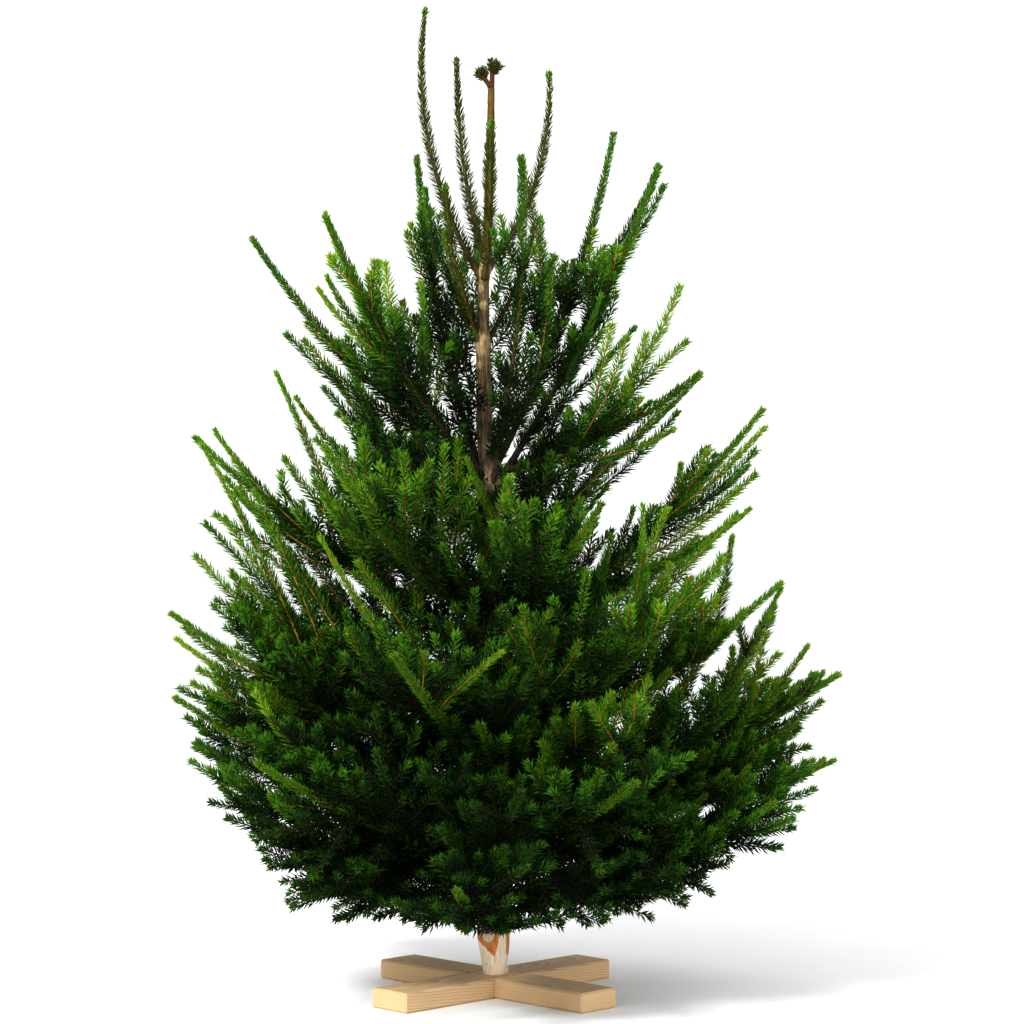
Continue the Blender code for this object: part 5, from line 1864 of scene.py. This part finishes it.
def butt_wood():
    """Cream wood, with an orange patch and strip of inner bark, a pale knot, and bark above."""
    made, tree, shader = plain_finish("milled_butt_wood")
    place = place_in(tree)
    parts = node_in(tree, "ShaderNodeSeparateXYZ", {"Vector": place}).outputs
    wobble = noise_in(tree, place, scale=320.0, detail=4.0)
    shift = math_in(tree, "MULTIPLY_ADD", wobble, WOBBLE, -WOBBLE / 2)
    across = math_in(tree, "ADD", parts["X"], shift)
    up = math_in(tree, "ADD", parts["Z"], shift)
    grain = noise_in(tree, drawn_out(tree, place, along=0.06), scale=420.0, detail=5.0)
    cream = colour_ramp(tree, grain, (
        (0.3, (0.72, 0.57, 0.39)), (0.48, (0.88, 0.77, 0.59)), (0.7, (0.93, 0.85, 0.69)),
    ))
    rind = colour_ramp(tree, grain, (
        (0.3, (0.38, 0.125, 0.024)), (0.5, (0.62, 0.25, 0.065)), (0.72, (0.76, 0.37, 0.12)),
    ))
    bark = colour_ramp(tree, wobble, ((0.35, (0.018, 0.012, 0.008)), (0.65, (0.075, 0.05, 0.032))))
    knot = colour_ramp(tree, grain, ((0.3, (0.46, 0.41, 0.31)), (0.7, (0.7, 0.66, 0.54))))
    front = ranged(tree, parts["Y"], -0.003, -0.006)
    inside = math_in(tree, "MINIMUM", *(
        math_in(tree, "MULTIPLY", beyond_line(tree, across, up, *edge), -1.0)
        for edge in (PATCH_LEFT, PATCH_RIGHT)
    ))
    patch = math_in(tree, "MULTIPLY", ranged(tree, inside, 0.0, PATCH_BLUR), front)
    strip = math_in(
        tree, "MULTIPLY",
        ranged(tree, across, EDGE_STRIP[0], EDGE_STRIP[0] + 0.001),
        ranged(tree, up, EDGE_STRIP[1], EDGE_STRIP[1] + 0.003),
    )
    near = ranged(tree, knot_distance(tree, across, up), 1.0, 0.9)
    ragged = math_in(tree, "MULTIPLY_ADD", wobble, BARK_RAGGEDNESS, up)
    colour = mixed(tree, math_in(tree, "MAXIMUM", patch, strip), cream, rind)
    colour = mixed(tree, math_in(tree, "MULTIPLY", near, front), colour, knot)
    colour = mixed(tree, ranged(tree, ragged, *BARK_EDGE), colour, bark)
    fill(tree, shader, {
        "Base Color": colour,
        "Normal": bump_in(tree, grain, strength=0.5, depth=0.0005),
        "Roughness": ranged(tree, grain, 0.3, 0.7, 0.74, 0.56),
    })
    return made


butt_finish = butt_wood()
print(butt_finish.name, len(butt_finish.node_tree.nodes), "nodes")

# %% [markdown]
# The cone is turned like the trunk above it, with facets for relief, and reaches a little up into
# it. Each torn fibre is a sliver of seven shrinking rings that starts in the front and curls out.

# %% Shape the butt and its torn fibres
BUTT_SIDES = 120
BUTT_STEP = 0.0011
FACETS = 9
FACET_DEPTH = 0.0005
FACET_TWIST = 9  # radians for each metre up
CUT_CHAMFER = 0.003
CHAMFER_SLOPE = 0.5
BUTT_OVERLAP = 1.06  # it ends inside the trunk's first rings
KNOT = Vector((-0.0095, -0.0215, 0.0915))
KNOT_RISE = 0.0012
KNOT_SPREAD = 0.008
TEAR = 0.0003
TEAR_STRETCH = 0.2
TEAR_SIZE = 400
FIBRES = (  # across and up, and the lean in degrees
    (0.0165, 0.052, 20), (0.0178, 0.047, -8), (0.0150, 0.043, 34), (0.0186, 0.040, 12),
    (-0.0145, 0.046, -24),
)
FIBRE_LENGTH = 0.015
FIBRE_RADIUS = (0.0009, 0.0001)  # how much the foot is thicker than the tip, and the tip
FIBRE_TAPER = 0.6
FIBRE_CURL = Vector((0.0022, -0.0018, 0))
FIBRE_ROOT = 0.0008  # inside the wood
FIBRE_OUTWARD = 0.22
FIBRE_SIDEWAYS = 0.8
FIBRE_STEPS = 6
FIBRE_SIDES = 5


def butt_relief(point, outward, radius):
    """Facets that the cutter left, a rounded rim at the cut, and the knot."""
    turn = (math.atan2(outward.y, outward.x) + point.z * FACET_TWIST) * FACETS / (2 * math.pi)
    facet = abs(turn - math.floor(turn) - 0.5) * 2 - 0.5
    rim = max(0.0, CUT_CHAMFER - (point.z - CUT_HEIGHT)) * CHAMFER_SLOPE
    knot = KNOT_RISE * math.exp(-(((point - KNOT).length / KNOT_SPREAD) ** 2))
    drawn = Vector((point.x, point.y, point.z * TEAR_STRETCH))
    tear = TEAR * noise.noise(drawn * TEAR_SIZE)
    return FACET_DEPTH * facet + knot + tear - rim


def fibre_rings(across, height, lean):
    """One torn sliver that curls away from the front of the butt."""
    middle, radius = trunk_at(height - CUT_HEIGHT)
    depth = -math.sqrt(max(0.0, radius**2 - (across - middle.x) ** 2))
    foot = Vector((across, depth + FIBRE_ROOT, height))
    aside = math.sin(math.radians(lean)) * FIBRE_SIDEWAYS
    heading = Vector((aside, -FIBRE_OUTWARD, -1)).normalized()
    thicker, thinnest = FIBRE_RADIUS
    made = []
    for step in range(FIBRE_STEPS + 1):
        share = step / FIBRE_STEPS
        place = foot + heading * FIBRE_LENGTH * share + FIBRE_CURL * share**2
        made.append((place, thicker * (1 - share) ** FIBRE_TAPER + thinnest, heading))
    return made


butt_rings = upright_rings(0, BUTT_TOP * BUTT_OVERLAP, BUTT_STEP)
butt_meshes = [stem_mesh("butt", butt_rings, BUTT_SIDES, butt_relief)]
for number, fibre in enumerate(FIBRES):
    rings = fibre_rings(*fibre)
    butt_meshes.append(stem_mesh(f"fibre_{number}", rings, FIBRE_SIDES, lambda *_: 0.0))
butt = joined("milled_butt", butt_meshes, butt_finish)
finished(butt, "bark", "trunk")
print("butt", triangles(butt), "triangles")

# %% [markdown]
# ## Bark of the boughs
# A bough is olive-brown at its tip, brown further in and nearly black where it leaves the trunk
# with a collar. Every needle grew on a small peg, and the pegs stay when the needles fall, so the
# limb is rough all over. The share of its length is kept as an attribute for the finish.

# %% Shape the boughs and the leader
BOUGH_SIDES = 9
BOUGH_STEP = 0.0055
BOUGH_TIP = 0.0012  # radius
BOUGH_FOOT = 0.011  # radius at the trunk, for each metre of its length
SLIMMEST_FOOT = 0.0048
BOUGH_TAPER = 0.8
COLLAR = 0.55  # thicker by this share at the trunk
COLLAR_LENGTH = 0.012
BOUGH_TURN = (0.2, 0.7)  # shares of its length, from the dark bark to the olive one
PEG_HEIGHT = 0.16  # of the radius
PEG_SCALE = 420
LEADER_SIDES = 24
TOP_YOUTH = 0.38  # the least share of youth in the topmost boughs


def bough_bark():
    """Nearly black at the trunk, olive-brown at the tip."""
    made, tree, shader = plain_finish("bough_bark")
    mottle = noise_in(tree, place_in(tree), scale=260.0, detail=5.0, Roughness=0.65)
    share = node_in(tree, "ShaderNodeAttribute", attribute_name="share").outputs["Fac"]
    old = colour_ramp(tree, mottle, ((0.32, (0.018, 0.012, 0.008)), (0.7, (0.115, 0.08, 0.05))))
    young = colour_ramp(tree, mottle, ((0.32, (0.08, 0.054, 0.01)), (0.7, (0.25, 0.175, 0.034))))
    fill(tree, shader, {
        "Base Color": mixed(tree, ranged(tree, share, *BOUGH_TURN), old, young),
        "Normal": bump_in(tree, mottle, strength=0.6, depth=0.0008),
        "Roughness": 0.8,
        "Specular IOR Level": BARK_GLOSS,
    })
    return made


def leader_bark():
    """Smooth and olive, with tan and orange streaks."""
    made, tree, shader = plain_finish("leader_bark")
    drawn = drawn_out(tree, place_in(tree), along=0.16)
    streak = noise_in(tree, drawn, scale=300.0, detail=4.0)
    fill(tree, shader, {
        "Base Color": colour_ramp(tree, streak, (
            (0.34, (0.03, 0.048, 0.004)), (0.45, (0.08, 0.068, 0.008)),
            (0.56, (0.14, 0.092, 0.014)), (0.66, (0.15, 0.054, 0.009)),
        )),
        "Normal": bump_in(tree, streak, strength=0.6, depth=0.0007),
        "Roughness": 0.6,
        "Specular IOR Level": BARK_GLOSS,
    })
    return made


def bough_relief(point, outward, radius):
    """The pegs of needles."""
    return PEG_HEIGHT * radius * noise.noise(point * PEG_SCALE)


def limb_rings(name, line):
    """Rings along a bough with its collar, or along the leader up to where it is cut."""
    foot = max(SLIMMEST_FOOT, BOUGH_FOOT * line.length)
    end = LEADER_CUT if name == "leader" else 1.0
    count = round(line.length * end / BOUGH_STEP)
    made = []
    for step in range(count + 1):
        share = end * step / count
        if name == "leader":
            radius = LEADER_RADIUS[0] + (LEADER_RADIUS[1] - LEADER_RADIUS[0]) * step / count
        else:
            collar = COLLAR * math.exp(-share * line.length / COLLAR_LENGTH)
            radius = (foot + (BOUGH_TIP - foot) * share**BOUGH_TAPER) * (1 + collar)
        made.append((line.at(share), radius, line.tangent(share)))
    return made


def share_of_length(mesh, rings, sides, youth):
    """Keeps each ring's share of the limb on its points, and no less than youth."""
    last = len(rings) - 1
    shares = [max(youth, index / last) for index in range(last + 1) for _ in range(sides)]
    mesh.attributes.new("share", "FLOAT", "POINT").data.foreach_set("value", shares)
    return mesh


bough_meshes = []
for name, (whorl, line) in lines.items():
    rings = limb_rings(name, line)
    if name == "leader":
        leader_mesh = stem_mesh(name, rings, LEADER_SIDES, bough_relief)
    else:
        mesh = stem_mesh(name, rings, BOUGH_SIDES, bough_relief)
        youth = TOP_YOUTH if whorl.name in TOP_WHORLS else 0
        bough_meshes.append(share_of_length(mesh, rings, BOUGH_SIDES, youth))
boughs = joined("bough_limbs", bough_meshes, bough_bark())
finished(boughs, "bark", *BOUGH_NODES)
leader = joined("leader_stem", [leader_mesh], leader_bark())
finished(leader, "bark", "leader_foliage")
fork_finish = bark_finish(
    "fork_bark", ((0.3, (0.030, 0.013, 0.004)), (0.7, (0.135, 0.050, 0.014))), 500.0, 0.0005, 0.7
)
fork = joined("leader_fork", [
    stem_mesh(f"fork_{number}", rings, BOUGH_SIDES, bough_relief)
    for number, rings in enumerate(leader_top.stems)
], fork_finish)
finished(fork, "bark", "leader_foliage")
print("boughs", triangles(boughs), "triangles")

# %% [markdown]
# ## The stand's boards
# Sawn softwood: growth rings that are arcs on the ends and long flames on the faces, fine fibres
# along the length, and faint marks across from the saw. A picture of planks would repeat and smear
# on the ends. A solid pattern runs through the board as the rings of the log do, so each board's
# pattern is only turned to lie along it.

# %% Finish the boards
BOARD_TURNS = {"stand_board_upper": 45, "stand_board_lower": -45}  # degrees from left to right
PITH = {"stand_board_upper": (0.012, -0.048), "stand_board_lower": (-0.022, 0.070)}
RING_WIDTH = 0.0034
RING_WANDER = 0.030
LOG_TAPER = 0.045
SAW_MARKS = 2600.0  # radians for each metre


def squared(tree, value):
    """The value times itself."""
    return math_in(tree, "MULTIPLY", value, value)


def board_wood(name, turn, pith):
    """Growth rings about the pith, fibres along the board, and saw marks across it."""
    made, tree, shader = plain_finish(name)
    laid = node_in(tree, "ShaderNodeMapping", {
        "Vector": place_in(tree), "Rotation": (0, 0, math.radians(-turn)),
    }).outputs[0]
    parts = node_in(tree, "ShaderNodeSeparateXYZ", {"Vector": laid}).outputs
    bend = noise_in(tree, laid, scale=6.0, detail=2.0)
    shift = math_in(tree, "MULTIPLY_ADD", bend, RING_WANDER, -RING_WANDER / 2)
    beside, above = (
        math_in(tree, "SUBTRACT", math_in(tree, "ADD", parts[label], shift), middle)
        for label, middle in zip("YZ", pith)
    )
    away = math_in(
        tree, "SQRT", math_in(tree, "ADD", squared(tree, beside), squared(tree, above))
    )
    tilt = math_in(tree, "MULTIPLY", parts["X"], LOG_TAPER)
    turns = math_in(tree, "DIVIDE", math_in(tree, "ADD", away, tilt), RING_WIDTH)
    rings = math_in(tree, "FRACT", turns)
    drawn = node_in(tree, "ShaderNodeMapping", {"Vector": laid, "Scale": (0.03, 1, 1)}).outputs[0]
    fibres = noise_in(tree, drawn, scale=900.0, detail=3.0)
    tone = weighted(tree, fibres, 0.3, rings, 0.7)
    along = math_in(tree, "ADD", parts["X"], shift)
    saw = math_in(tree, "SINE", math_in(tree, "MULTIPLY", along, SAW_MARKS))
    sunk = math_in(tree, "ADD", fibres, math_in(tree, "MULTIPLY", rings, -0.4))
    height = math_in(tree, "MULTIPLY_ADD", saw, 0.25, sunk)
    fill(tree, shader, {
        "Base Color": colour_ramp(tree, tone, (
            (0.1, (0.7, 0.515, 0.31)), (0.55, (0.65, 0.46, 0.26)),
            (0.78, (0.55, 0.365, 0.19)), (0.86, (0.46, 0.29, 0.145)),
        )),
        "Normal": bump_in(tree, height, strength=0.45, depth=0.0004),
        "Roughness": ranged(tree, fibres, 0.3, 0.7, 0.8, 0.62),
    })
    return made


for name, turn in BOARD_TURNS.items():
    board = bpy.data.objects[name]
    finish = board_wood(name + "_wood", turn, PITH[name])
    for slot in board.material_slots:
        slot.material = finish

# %% [markdown]
# Four beech dowels pin the lap. Each end stands a hair proud, with its edge rounded over. They
# repeat, so one short line stands at each side of the lap, and the tree for tubes turns all four.

# %% Drive the dowels
DOWEL_RADIUS = 0.004
DOWEL_PROUD = 0.0007
DOWEL_SUNK = 0.006
DOWEL_OUT = 0.041  # from the middle of the stand
DOWEL_SIDES = 28
DOWEL_PROFILE = ((0, 1.0), (0.45, 0.97), (0.85, 0.86), (1, 0.70))  # of its rise, and its girth
BOARD_TOP = 0.030


def dowel_wood():
    """End grain: pores, and the wavy bands of the rings."""
    made, tree, shader = plain_finish("dowel_end_grain")
    place = place_in(tree)
    pores = noise_in(tree, place, scale=2600.0, detail=3.0)
    bands = node_in(tree, "ShaderNodeTexWave", {
        "Vector": place, "Scale": 260.0, "Distortion": 3.0,
    }).outputs["Fac"]
    tone = weighted(tree, bands, 0.35, pores, 0.65)
    fill(tree, shader, {
        "Base Color": colour_ramp(tree, tone, (
            (0.25, (0.26, 0.145, 0.065)), (0.55, (0.46, 0.29, 0.15)), (0.8, (0.58, 0.4, 0.23)),
        )),
        "Normal": bump_in(tree, pores, strength=0.5, depth=0.0003),
        "Roughness": 0.7,
    })
    return made


strands = []
for quarter in range(4):
    angle = math.radians(90 * quarter)
    x, y = DOWEL_OUT * math.cos(angle), DOWEL_OUT * math.sin(angle)
    heights = [-DOWEL_SUNK] + [DOWEL_PROUD * rise for rise, _ in DOWEL_PROFILE]
    points = [Vector((x, y, BOARD_TOP + height)) for height in heights]
    strands.append((points, {"girth": [1.0] + [girth for _, girth in DOWEL_PROFILE]}))
dowels = grown("lap_dowels", strands, *tube_tree("dowels_at_corners", smooth=False), {
    "Sides": DOWEL_SIDES,
    "Radius": DOWEL_RADIUS,
    "Material": dowel_wood(),
})
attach(dowels, BODY)
print("dowels", triangles(dowels), "triangles")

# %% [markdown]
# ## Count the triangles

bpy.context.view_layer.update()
total = sum(triangles(o) for o in bpy.data.objects if o.type == "MESH" and not o.hide_render)
print(total, "triangles in all")
